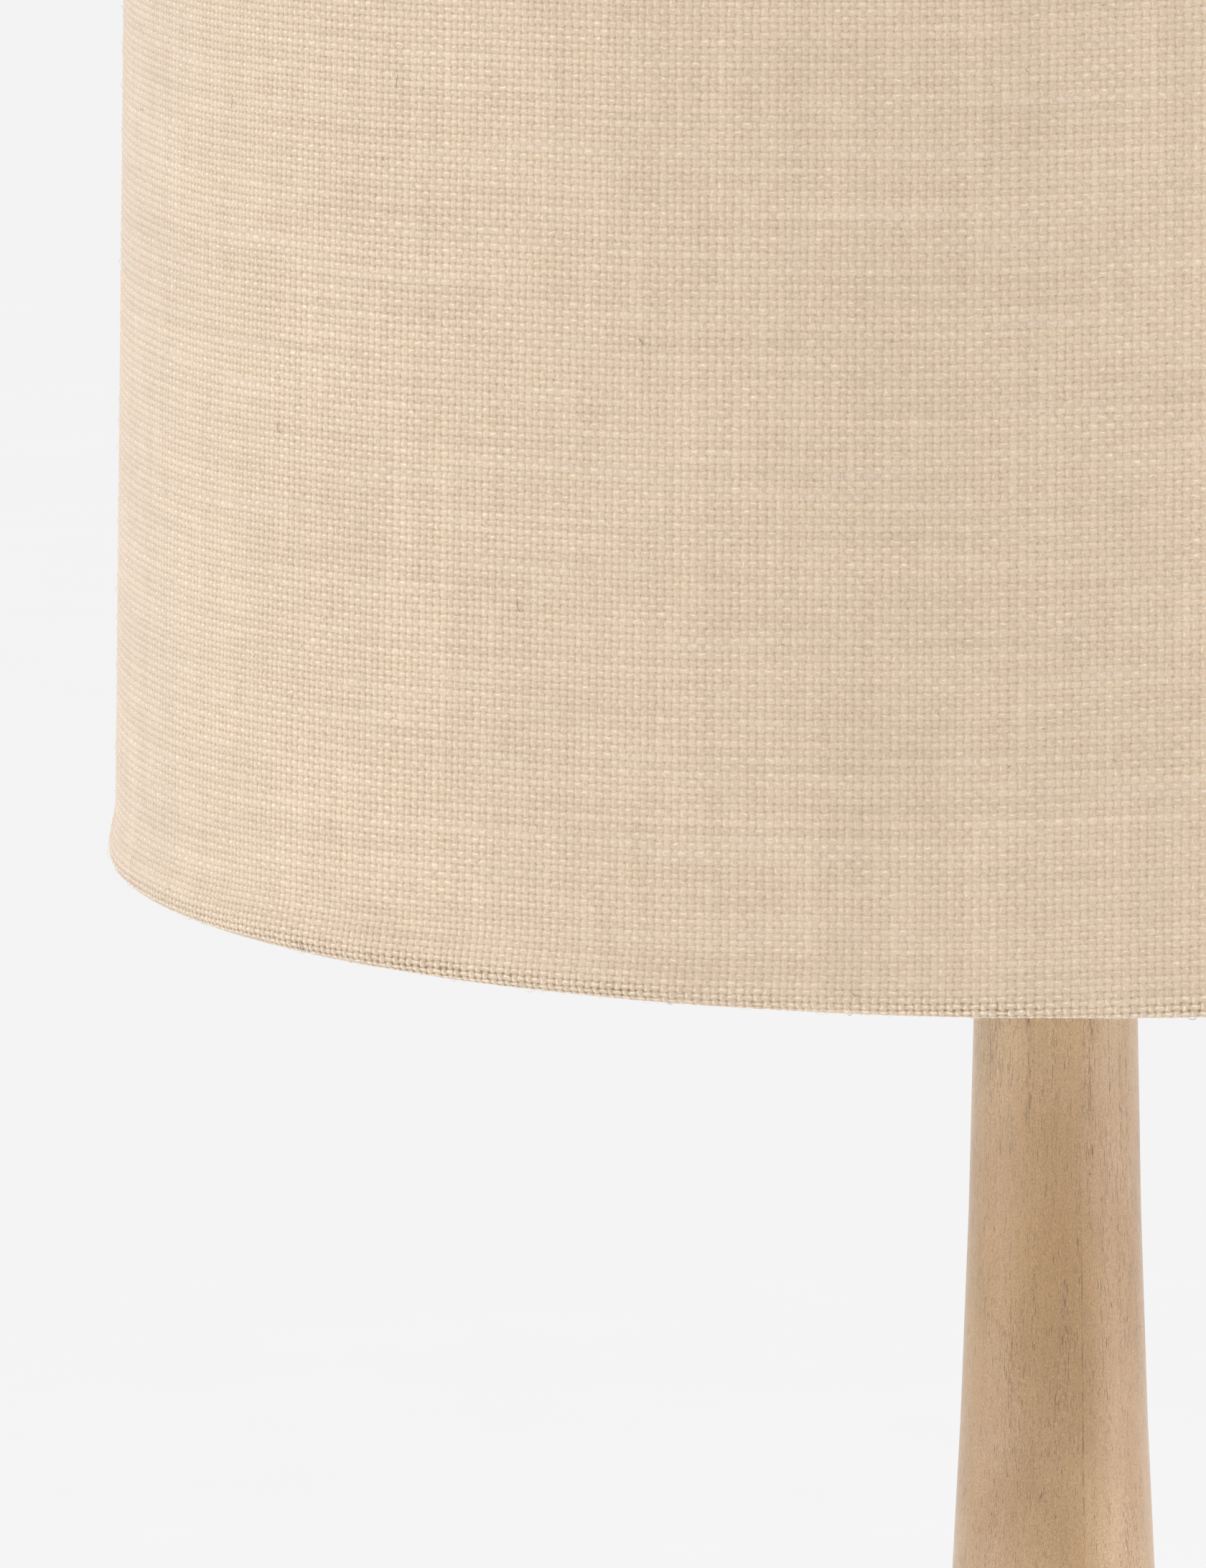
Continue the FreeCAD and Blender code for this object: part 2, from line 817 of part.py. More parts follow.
def bulb_cap():
    """The threaded metal cap of the bulb."""
    low = bulb_foot + bulb_tip_height
    top = low + bulb_cap_height
    root = bulb_cap_radius - bulb_thread_depth
    corners = [(0, low), (contact_radius, low), (root, low + 4)]
    for turn in range(4):
        start = low + 4.6 + bulb_thread_pitch * turn
        corners.append((root, start))
        corners.append((bulb_cap_radius, start + bulb_thread_pitch * 0.4))
        corners.append((bulb_cap_radius, start + bulb_thread_pitch * 0.5))
        corners.append((root, start + bulb_thread_pitch * 0.9))
    corners.append((root, top))
    corners.append((0, top))
    return node(turned("bulb_cap", corners), "bulb_cap")


def bulb_housing():
    """The plastic cone between the cap and the globe."""
    low = bulb_foot + bulb_tip_height + bulb_cap_height
    top = low + bulb_housing_height
    rim = bulb_radius * (math.sqrt(3) / 2)
    corners = [
        (0, low),
        (bulb_cap_radius + 0.8, low),
        (bulb_cap_radius + 2.4, low + 6),
        (rim, top),
        (0, top),
    ]
    return node(turned("bulb_housing", corners), "bulb_housing")


def bulb_globe():
    """The frosted globe."""
    low = bulb_foot + bulb_tip_height + bulb_cap_height + bulb_housing_height
    rim = bulb_radius * (math.sqrt(3) / 2)
    top = low + bulb_globe_rise + bulb_radius
    corners = [(0, low), (rim, low), (0, top)]
    return node(turned("bulb_globe", corners, {1: (bulb_radius, 1)}), "bulb_globe")


def harp_path(sketch):
    """Half of the harp's centre line, from one foot up to the lamp's axis."""
    foot = harp_foot
    bend = harp_foot + harp_straight
    low = Vector(harp_lower_half.value, foot.value, 0)
    knee = Vector(harp_lower_half.value, bend.value, 0)
    corner = Vector(harp_top_half.value, harp_top.value - harp_corner_radius.value, 0)
    lean, swing = harp_angles(knee, corner)
    first_centre = knee + Vector(harp_out_radius.value, 0, 0)
    reach = harp_side_radius.value + harp_out_radius.value
    side_centre = first_centre - Vector(math.cos(lean), -math.sin(lean), 0) * reach
    axis = Vector(0, 0, 1)
    out_arc = Part.Circle(first_centre, axis, harp_out_radius.value)
    side_arc = Part.Circle(side_centre, axis, harp_side_radius.value)
    top_arc = Part.Circle(corner, axis, harp_corner_radius.value)
    top = Vector(corner.x, harp_top.value, 0)
    sketch.addGeometry(Part.LineSegment(low, knee), False)
    sketch.addGeometry(Part.ArcOfCircle(out_arc, math.pi - lean, math.pi), False)
    sketch.addGeometry(Part.ArcOfCircle(side_arc, -lean, swing), False)
    sketch.addGeometry(Part.ArcOfCircle(top_arc, swing, math.pi / 2), False)
    sketch.addGeometry(Part.LineSegment(top, Vector(0, harp_top.value, 0)), False)
    for one, end, two, start in ((0, 2, 1, 2), (1, 1, 2, 1), (2, 2, 3, 1), (3, 2, 4, 1)):
        sketch.addConstraint(Sketcher.Constraint("Tangent", one, end, two, start))
    pin(sketch, 0, 1, (harp_lower_half, foot))
    pin(sketch, 0, 2, (harp_lower_half, bend))
    pin(sketch, 4, 1, (harp_top_half, harp_top))
    pin(sketch, 4, 2, (0, harp_top))
    for arc, radius in ((1, harp_out_radius), (2, harp_side_radius), (3, harp_corner_radius)):
        bind(sketch, Sketcher.Constraint("Radius", arc, radius.value), radius.formula)


def harp_angles(knee, corner):
    """Lean of the harp's flare and the angle where its side meets the top corner."""
    reach = harp_side_radius.value + harp_out_radius.value
    first_x = knee.x + harp_out_radius.value
    wanted = harp_side_radius.value - harp_corner_radius.value
    low, high = math.radians(5), math.radians(80)
    for step in range(60):
        lean = (low + high) / 2
        centre = Vector(first_x - reach * math.cos(lean), knee.y + reach * math.sin(lean), 0)
        if (corner - centre).Length > wanted:
            low = lean
        else:
            high = lean
    swing = math.atan2(corner.y - centre.y, corner.x - centre.x)
    return lean, swing


def harp():
    """The wire loop that carries the shade round the bulb."""
    body = new_body("harp")
    profile = new_sketch(body, "XY_Plane", offset=harp_foot)
    draw_circle(profile, (harp_lower_half, 0), wire_radius)
    path = new_sketch(body, "XZ_Plane")
    harp_path(path)
    DOC.recompute()
    wire = body.newObject("PartDesign::AdditivePipe", "harp_wire")
    wire.Profile = (profile, [""])
    wire.Spine = (path, [""])
    DOC.recompute()
    both = body.newObject("PartDesign::Mirrored", "harp_both")
    both.Originals = [wire]
    both.MirrorPlane = (own_plane(body, "YZ_Plane"), [""])
    body.Tip = both
    profile.Visibility = False
    path.Visibility = False
    return node(body, "harp")


def harp_stud():
    """The collar on top of the harp with its threaded stud."""
    low = spider_seat - collar_height
    tip = spider_seat + stud_length
    edge = as_size(0.8)
    corners = [
        (0, low),
        (collar_radius - edge, low),
        (collar_radius, low + edge),
        (collar_radius, spider_seat),
        (stud_radius, spider_seat),
        (stud_radius, tip - edge),
        (stud_radius - edge, tip),
        (0, tip),
    ]
    body = turned("harp_stud", corners)
    hole = new_sketch(body, "YZ_Plane")
    draw_circle(hole, (0, harp_top), wire_radius)
    pocket(body, hole, collar_radius * 3, middle=True)
    return node(body, "harp_stud")


def harp_sleeve(label, side):
    """The tube that slides down over a harp foot and a saddle ear."""
    low = saddle_top + ear_shoulder
    high = low + harp_sleeve_length
    edge = as_size(0.4)
    corners = [
        (harp_sleeve_bore, low),
        (harp_sleeve_radius - edge, low),
        (harp_sleeve_radius, low + edge),
        (harp_sleeve_radius, high - edge),
        (harp_sleeve_radius - edge, high),
        (harp_sleeve_bore, high),
    ]
    return node(place(turned(label, corners), along=harp_sleeve_offset * side), label)


def cloth_radius(height, inset=0):
    """The shade's radius at a height, measured in from the cloth's outer face."""
    return shade_radius - (height - rim_height) * shade_taper - inset


def cone_wall(label, inset, thickness, low, high, angle=None):
    """A thin wall that follows the shade's taper."""
    inset = as_size(inset)
    corners = [
        (cloth_radius(low, inset + thickness), low),
        (cloth_radius(low, inset), low),
        (cloth_radius(high, inset), high),
        (cloth_radius(high, inset + thickness), high),
    ]
    return turned(label, corners, angle=angle)


def ring_height(edge, side):
    """The height of a wire ring's middle, inside a hem with its edge at a height."""
    return edge + (hem_turn + ring_gap + ring_radius) * side


def ring_reach(edge, side):
    """The radius of a wire ring's middle, just inside the liner."""
    wall = cloth_thickness + liner_thickness
    return cloth_radius(ring_height(edge, side), wall) - ring_radius - ring_gap


def hem(label, edge, side, flange):
    """A strip of cloth rolled over the wire ring, and back up inside if it has a flange."""
    def up(amount):
        return edge + as_size(amount) * side

    wall = cloth_thickness + liner_thickness
    hollow = ring_reach(edge, side) - ring_radius - ring_gap
    outer = cloth_radius(up(2)) + hem_bulge
    high = up(hem_height)
    inside = up(hem_inside)
    lip = [
        (cloth_radius(high), high),
        (cloth_radius(high) + cloth_thickness, high),
        (outer, up(7)),
        (outer, up(2)),
        (outer - 1.6, edge),
        (hollow - 0.2, edge),
        (hollow - cloth_thickness, up(hem_turn)),
    ]
    back = [
        (hollow - cloth_thickness, up(4.8)),
        (cloth_radius(up(8.4), wall + cloth_thickness), up(8.4)),
        (cloth_radius(inside, wall + cloth_thickness), inside),
        (cloth_radius(inside, wall), inside),
        (cloth_radius(up(8), wall), up(8)),
        (hollow, up(4.6)),
        (hollow, up(hem_turn)),
    ]
    foot = [(cloth_radius(up(hem_turn)), up(hem_turn))]
    corners = lip + back + foot if flange else lip + foot
    bends = {3: (as_size(2.2), -side)}
    return node(turned(label, corners, bends), label)


def shade_ring(label, height, radius):
    """A round wire ring."""
    ring = DOC.addObject("Part::Torus", label)
    ring.Radius1 = radius.value
    ring.setExpression("Radius1", radius.formula)
    ring.Radius2 = ring_radius.value
    ring.setExpression("Radius2", ring_radius.formula)
    ring.Placement = Placement(Vector(0, 0, height.value), Rotation())
    ring.setExpression("Placement.Base.z", height.formula)
    return ring


def spider_arm(index, radius, height):
    """One straight arm from the washer up to the top ring."""
    arm = DOC.addObject("Part::Cylinder", "spider_arm")
    start = spider_seat + spider_washer_thickness / 2
    rise = height.value - start.value
    run = radius.value - arm_start.value
    arm.Radius = ring_radius.value
    arm.setExpression("Radius", ring_radius.formula)
    arm.Height = math.hypot(run, rise)
    run_text = f"({radius.formula} - {arm_start.formula})"
    rise_text = f"({height.formula} - {start.formula})"
    arm.setExpression("Height", f"hypot({run_text}; {rise_text})")
    angle = arm_turn.value + 120 * index
    tilt = Rotation(Vector(0, 1, 0), 90 - math.degrees(math.atan2(rise, run)))
    spin = Rotation(Vector(0, 0, 1), angle)
    spot = spin.multVec(Vector(arm_start.value, 0, start.value))
    arm.Placement = Placement(spot, spin.multiply(tilt))
    around = f"({arm_turn.formula} + {120 * index}) * 1 deg"
    arm.setExpression("Placement.Base.x", f"{arm_start.formula} * cos({around})")
    arm.setExpression("Placement.Base.y", f"{arm_start.formula} * sin({around})")
    arm.setExpression("Placement.Base.z", start.formula)
    return arm


def shade_spider():
    """Top ring, three arms and the washer that drops on the stud, welded into one."""
    height = ring_height(shade_top, -1)
    radius = ring_reach(shade_top, -1)
    ring = shade_ring("spider_ring", height, radius)
    top = spider_seat + spider_washer_thickness
    washer = tube("spider_washer", spider_washer_hole, spider_washer_radius, spider_seat, top)
    arms = [spider_arm(index, radius, height) for index in range(3)]
    spider = DOC.addObject("Part::MultiFuse", "shade_spider")
    spider.Shapes = [ring, washer] + arms
    return node(spider, "shade_spider")


def finial():
    """The turned knob that screws down on the shade."""
    low = spider_seat + spider_washer_thickness
    top = low + finial_height
    hole_top = low + finial_hole_depth
    bore = stud_radius + thread_slack
    corners = [
        (bore, low),
        (finial_base_radius, low),
        (finial_base_radius, low + 2.4),
        (finial_waist_radius, low + 5),
        (finial_waist_radius, top - finial_ball_radius * 1.8),
        (0, top),
        (0, hole_top),
        (bore, hole_top),
    ]
    return node(turned("finial", corners, {4: (finial_ball_radius, 1)}), "finial")


def build_stand():
    """Legs, feet and the joinery of the neck."""
    for index, label in enumerate(("leg_right", "leg_rear", "leg_front")):
        leg(index, label)
    spots = [(index, height) for index in range(3) for height in (dowel_high, dowel_low)]
    group("glue_dowels", [dowel(index, height) for index, height in spots])
    group("foot_glides", [glide(index) for index in range(3)])
    group("glide_nails", [nail(index) for index in range(3)])
    lamp_pipe()
    washer_low = hollow_top - washer_thickness
    washer = tube("pipe_washer", pipe_radius + thread_slack, washer_radius, washer_low, hollow_top)
    node(washer, "pipe_washer")
    hex_nut("pipe_locknut", locknut_across, washer_low - locknut_thickness, locknut_thickness)
    cord_bushing()
    neck_cap()


def build_fitting():
    """Saddle, socket, switch and bulb."""
    harp_saddle()
    hex_nut("saddle_nut", saddle_nut_across, saddle_top, saddle_nut_thickness)
    socket_cap()
    set_screw()
    socket_shell()
    insulating_sleeve()
    socket_body()
    screw_shell()
    disc("centre_contact", contact_radius, body_top, body_top + contact_height)
    switch_shaft()
    switch_knob()
    disc("bulb_tip", contact_radius, bulb_foot, bulb_foot + bulb_tip_height)
    bulb_cap()
    bulb_housing()
    bulb_globe()


def build_shade():
    """Harp, shade and finial."""
    harp()
    harp_stud()
    harp_sleeve("harp_sleeve_right", 1)
    harp_sleeve("harp_sleeve_left", -1)
    shade_spider()
    ring = shade_ring("shade_bottom_ring", ring_height(rim_height, 1), ring_reach(rim_height, 1))
    node(ring, "shade_bottom_ring")
    low = rim_height + hem_turn
    high = shade_top - hem_turn
    node(cone_wall("shade_liner", cloth_thickness, liner_thickness, low, high), "shade_liner")
    node(cone_wall("shade_fabric", 0, cloth_thickness, low, high), "shade_fabric")
    low = rim_height + hem_height
    high = shade_top - hem_height
    seam = cone_wall("shade_seam", -cloth_thickness, cloth_thickness, low, high, seam_angle)
    node(place(seam, turn=seam_turn), "shade_seam")
    hem("shade_hem_bottom", rim_height, 1, flange=True)
    hem("shade_hem_top", shade_top, -1, flange=False)
    finial()


def check_nodes():
    """Stop if any object failed or any node has a bad shape."""
    for item in DOC.Objects:
        if "Invalid" in item.State or "Error" in item.State:
            raise ValueError(f"{item.Name} failed: {item.State}")
    for item in NODES:
        if item.Shape.isNull() or not item.Shape.isValid():
            raise ValueError(f"{item.Label} has a bad shape")


def export_nodes():
    """Write one STEP file for each node."""
    os.makedirs("parts", exist_ok=True)
    for item in NODES:
        item.Shape.exportStep(f"parts/{item.Label}.step")
        box = item.Shape.BoundBox
        print(f"{item.Label}: {len(item.Shape.Solids)} solid(s), {item.Shape.Volume:.0f} mm3, "
              f"z {box.ZMin:.1f} to {box.ZMax:.1f}")


build_stand()
build_fitting()
build_shade()
DOC.recompute()
check_nodes()
export_nodes()
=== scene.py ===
import math

import bpy
import numpy as np
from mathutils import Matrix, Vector


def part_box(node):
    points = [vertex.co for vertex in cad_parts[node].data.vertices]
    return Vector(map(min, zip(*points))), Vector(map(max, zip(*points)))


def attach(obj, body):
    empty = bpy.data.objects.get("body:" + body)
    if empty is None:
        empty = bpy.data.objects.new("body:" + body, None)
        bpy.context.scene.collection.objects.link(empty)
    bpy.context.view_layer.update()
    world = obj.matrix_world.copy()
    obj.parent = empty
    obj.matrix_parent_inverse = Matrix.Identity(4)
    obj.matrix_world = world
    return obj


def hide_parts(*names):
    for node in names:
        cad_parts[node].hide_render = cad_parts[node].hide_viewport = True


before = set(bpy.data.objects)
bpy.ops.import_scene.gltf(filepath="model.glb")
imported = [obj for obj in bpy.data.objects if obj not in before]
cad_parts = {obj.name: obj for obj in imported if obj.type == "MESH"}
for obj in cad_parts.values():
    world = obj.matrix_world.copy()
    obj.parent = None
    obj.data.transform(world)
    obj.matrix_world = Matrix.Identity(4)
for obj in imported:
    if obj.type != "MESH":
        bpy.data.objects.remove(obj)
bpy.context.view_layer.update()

MM = 0.001

# The shade, in millimetres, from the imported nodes
_, CLOTH_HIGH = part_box("shade_fabric")
HEM_LOW, HEM_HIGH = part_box("shade_hem_bottom")
_, TOP_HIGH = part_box("shade_hem_top")
FOOT_DROP = 0.8       # from the lowest point of the foot's hem down to the cloth's foot
TOP_DROP = 0.1        # from the highest point of the top's hem down to the cloth's top
RIM_Z = HEM_LOW.z / MM - FOOT_DROP
SHADE_TOP_Z = TOP_HIGH.z / MM - TOP_DROP
RIM_RADIUS = HEM_HIGH.x / MM
CLOTH_RADIUS = CLOTH_HIGH.x / MM
TAPER = 0.0139        # how much the shade's radius shrinks for each millimetre of height

# The cloth's profile, in millimetres
RING = 2.5            # radius of the cloth's roll over a wire ring
SWELL = 1.5           # how far the wall stands out where it meets a roll
SWELL_REACH = 14      # how far from a hem's edge the wall starts to stand out
SWELL_POINTS, ROLL_POINTS = 12, 14
PROFILE_STEP = 0.4    # from one point of the smooth profile to the next
FLANGE_POINTS = (
    # the cloth back inside: height of the wall that it follows, its own height (both from the
    # ring's middle), and how far inside that wall it is
    (0, 2, 4.7), (6, 6.5, 2.2), (11, 11, 2.1),
)

# The weave
ENDS = 688            # warp threads round the shade
PANELS = 8            # the cloth is drawn in this many panels
ENDS_PER_PANEL = ENDS // PANELS
PICK = 1.73           # millimetres from one weft thread to the next
SEAM_ENDS = 6         # warp threads across the seam's overlap
SEAM_LIFT = 0.8       # how far the overlap stands off the cloth
SEAM_UV = (900, 300)  # keeps the seam's noise apart from the cloth's
BOW = 8.0             # how far the weft rises and falls round the shade
BOW_TURN = -1.274     # where round the shade the weft slopes most
BOW_FADE = 22.0       # over which length the weft straightens at the cloth's ends
RIPPLES = ((0.15, 7, 1), (0.1, 19, 2))     # the weft's smaller waves: height, number, start
ENDS_SPREAD, PICKS_SPREAD = 0.10, 0.09     # how uneven the threads' distances are
SLUBS = 620                                # thick places in the weft
SLUB_LENGTHS = (6, 46)                     # between which their lengths lie, in warp threads
SLUB_STRENGTHS = (0.3, 1.0)

# Heights of the threads over the cloth's middle surface, in millimetres
WEFT_CROWN, WEFT_CROWN_SLUB = 0.14, 0.24   # a weft thread over a warp thread, and more at a slub
WARP_CROWN = 0.08                          # a warp thread over a weft thread
WEFT_SIDE, WEFT_SIDE_SLUB = 0.01, 0.18     # a weft thread between two warp threads
WARP_SIDE = -0.03                          # a warp thread between two weft threads
HOLE = -0.15                               # between four threads
UNEVEN = 0.03                              # spread of every height

# Where the threads stand apart, which the weave darkens with painted shade between them and
# brightens with painted highlight on them; one side gets more of both
GAPS_AT, GAPS_REACH = 3.1, 2.9             # middle and reach, from the lowest line, in millimetres
SEAM_GAPS = 0.4                            # how much they do in the seam, against the hem
SIDE_SHADING = 0.22                               # how much more on one side, for more painted shade between the threads and painted highlight on them
SIDE_SHADING_AT, SIDE_SHADING_REACH = 2.22, 0.46         # its middle and reach, from the back, in radians

# Loose hairs on the cloth, in millimetres
HAIRS = 1400
HAIR_POINTS = 9                            # rings of points along a hair
HAIR_SIDES = 3                             # points in a ring
HAIR_LENGTHS = (1.2, 4.5)
HAIR_RADII = (0.03, 0.055)
HAIR_FOOT = 0.18                           # how far a hair's ends stand off the cloth
HAIR_LIFTS = (0.1, 0.55)                   # how much farther its middle does
HEM_SHARE = 0.3                            # of the hairs, at the hem
DARK_SHARE = 0.05                          # of the hairs, brown ones
DARK_RADIUS = 1.5                          # how much thicker those are

# Where each row of random numbers starts
ENDS_SEED, PICKS_SEED, SLUB_SEED, HEIGHT_SEED, GAPS_SEED, HAIR_SEED = 5, 8, 11, 31, 51, 77

# The wood, in metres
LEGS = 3
LEG_TURN = math.radians(12)                # how far the legs are turned about the lamp's axis
SHARED_SHIFT = (0.3, 0.1, 0.0)             # places the patches that run over all three legs
BANDS_FOOT, BANDS_HEIGHT = 1.04, 0.24
NECK_BANDS = (
    # share of the height, and what the tone is multiplied by there; from 0.604 up, just under the
    # shade, the lighter tone is painted light standing in for the light under the shade; lower down
    # the neck is lighter or darker by height
    (0.0, 1.0), (0.125, (1.08, 1.11, 1.17)), (0.2, (0.99, 0.99, 1.0)), (0.24, (0.935, 0.92, 0.93)),
    (0.35, (0.94, 0.92, 0.87)), (0.41, (0.96, 0.94, 0.905)), (0.504, (1.0, 0.985, 1.0)),
    (0.56, 1.0), (0.604, (1.07, 1.10, 1.155)), (0.654, (1.13, 1.20, 1.27)),
    (0.72, (1.13, 1.20, 1.27)), (0.85, (1.05, 1.08, 1.1)), (0.95, 1.0),
)
JOINT_FOOT, JOINT_HEIGHT = 0.8, 0.4        # and how plainly the glue joint shows over it
JOINT_BANDS = ((0.1, 0.0), (0.3, 0.5), (0.68, 0.5), (0.74, 0.95), (0.83, 0.95), (0.88, 0.0))
JOINT_WIDTH = 0.0007                       # in the cosine that is -1 on a glue joint

# The studio
FLOOR_REACH = 60.0
SURROUND = 0.975
SOFTBOXES = (
    # name, place, what it faces, width, height, watts
    ("left_softbox", (-3.2, -0.4, 1.9), (0, 0, 1.2), 2.2, 2.6, 25),
    ("right_softbox", (3.2, -0.35, 1.87), (0, 0, 1.2), 2.2, 2.6, 45),
    ("left_fill", (-1.6, -0.8, 0.6), (0, 0, 1.14), 0.9, 0.6, 3.4),
    ("right_fill", (1.7, -0.6, 0.6), (0, 0, 1.14), 0.9, 0.6, 3.5),
)

# The camera
PICTURE_HEIGHT = 2185                      # pixels
FOCAL = 26512                              # pixels
SENSOR = 36                                # millimetres
RIM_HEIGHT = 1.24                          # metres
CAMERA_BACK, CAMERA_UP = 19.82, 3.369      # from the rim's middle, in rim radii
YAW, PITCH = math.radians(1.384), math.radians(9.45)


# ---------------------------------------------------------------- node graphs

class Graph:
    """One material, and short calls that add nodes to it."""

    def __init__(self, name):
        self.material = bpy.data.materials.new(name)
        self.material.use_nodes = True
        self.tree = self.material.node_tree
        self.tree.nodes.clear()
        self.output = self.tree.nodes.new("ShaderNodeOutputMaterial")
        self.shader = self.tree.nodes.new("ShaderNodeBsdfPrincipled")
        self.link(self.shader.outputs[0], self.output.inputs["Surface"])

    def link(self, source, target):
        self.tree.links.new(source, target)

    def put(self, value, target):
        """Link a socket, or set a constant."""
        if isinstance(value, bpy.types.NodeSocket):
            self.link(value, target)
        else:
            target.default_value = value

    def add(self, kind, inputs=None, **settings):
        node = self.tree.nodes.new(kind)
        for key, value in settings.items():
            setattr(node, key, value)
        for key, value in (inputs or {}).items():
            self.put(value, node.inputs[key])
        return node

    def math(self, operation, *values, clamp=False):
        node = self.add("ShaderNodeMath", operation=operation, use_clamp=clamp)
        for index, value in enumerate(values):
            self.put(value, node.inputs[index])
        return node.outputs[0]

    def plus(self, first, second):
        return self.math("ADD", first, second)

    def minus(self, first, second, clamp=False):
        return self.math("SUBTRACT", first, second, clamp=clamp)

    def times(self, first, second, clamp=False):
        return self.math("MULTIPLY", first, second, clamp=clamp)

    def over(self, first, second, clamp=False):
        return self.math("DIVIDE", first, second, clamp=clamp)

    def line(self, value, slope, start, clamp=False):
        """value * slope + start."""
        return self.math("MULTIPLY_ADD", value, slope, start, clamp=clamp)

    def vector(self, x, y, z):
        return self.add("ShaderNodeCombineXYZ", {0: x, 1: y, 2: z}).outputs[0]

    def split(self, vector):
        return self.add("ShaderNodeSeparateXYZ", {0: vector}).outputs

    def scale(self, vector, factors):
        inputs = {0: vector, 1: factors}
        return self.add("ShaderNodeVectorMath", inputs, operation="MULTIPLY").outputs[0]

    def shift(self, vector, offset):
        inputs = {0: vector, 1: offset}
        return self.add("ShaderNodeVectorMath", inputs, operation="ADD").outputs[0]

    def noise(self, vector, detail, rough, scale=1.0, distortion=0.0):
        inputs = {"Vector": vector, "Scale": scale, "Detail": detail, "Roughness": rough,
                  "Distortion": distortion}
        return self.add("ShaderNodeTexNoise", inputs).outputs[0]

    def ramp(self, factor, *stops):
        """A colour or grey ramp; each stop is (position, grey or colour)."""
        node = self.add("ShaderNodeValToRGB", {0: factor})
        elements = node.color_ramp.elements
        while len(elements) < len(stops):
            elements.new(0.5)
        for element, (position, colour) in zip(elements, stops):
            element.position = position
            grey = isinstance(colour, (int, float))
            element.color = (colour, colour, colour, 1) if grey else (*colour, 1)
        return node.outputs[0]

    def mix(self, factor, first, second, blend="MIX"):
        node = self.add("ShaderNodeMix", data_type="RGBA", blend_type=blend)
        self.put(factor, node.inputs[0])
        for value, target in ((first, node.inputs[6]), (second, node.inputs[7])):
            if isinstance(value, tuple):
                value = (*value, 1)
            self.put(value, target)
        return node.outputs[2]

    def tint(self, tone, factor):
        """A colour times another."""
        return self.mix(1.0, tone, factor, "MULTIPLY")

    def bump(self, height, strength, distance):
        inputs = {"Height": height, "Strength": strength, "Distance": distance}
        self.link(self.add("ShaderNodeBump", inputs).outputs[0], self.shader.inputs["Normal"])

    def set(self, **values):
        """Set the shader's own sockets."""
        for key, value in values.items():
            target = self.shader.inputs[key.replace("_", " ")]
            if isinstance(value, tuple) and len(value) == 3:
                value = (*value, 1)
            self.put(value, target)

    def place(self):
        return self.add("ShaderNodeTexCoord").outputs["Object"]

    def uv(self):
        return self.add("ShaderNodeTexCoord").outputs["UV"]

    def stored(self, name):
        """A number stored at the mesh's points."""
        return self.add("ShaderNodeAttribute", attribute_name=name).outputs["Fac"]


def srgb(*values):
    """An 8-bit display colour as linear numbers."""
    parts = [v / 255 for v in values]
    return tuple(p / 12.92 if p <= 0.04045 else ((p + 0.055) / 1.055) ** 2.4 for p in parts)


# ---------------------------------------------------------------- materials

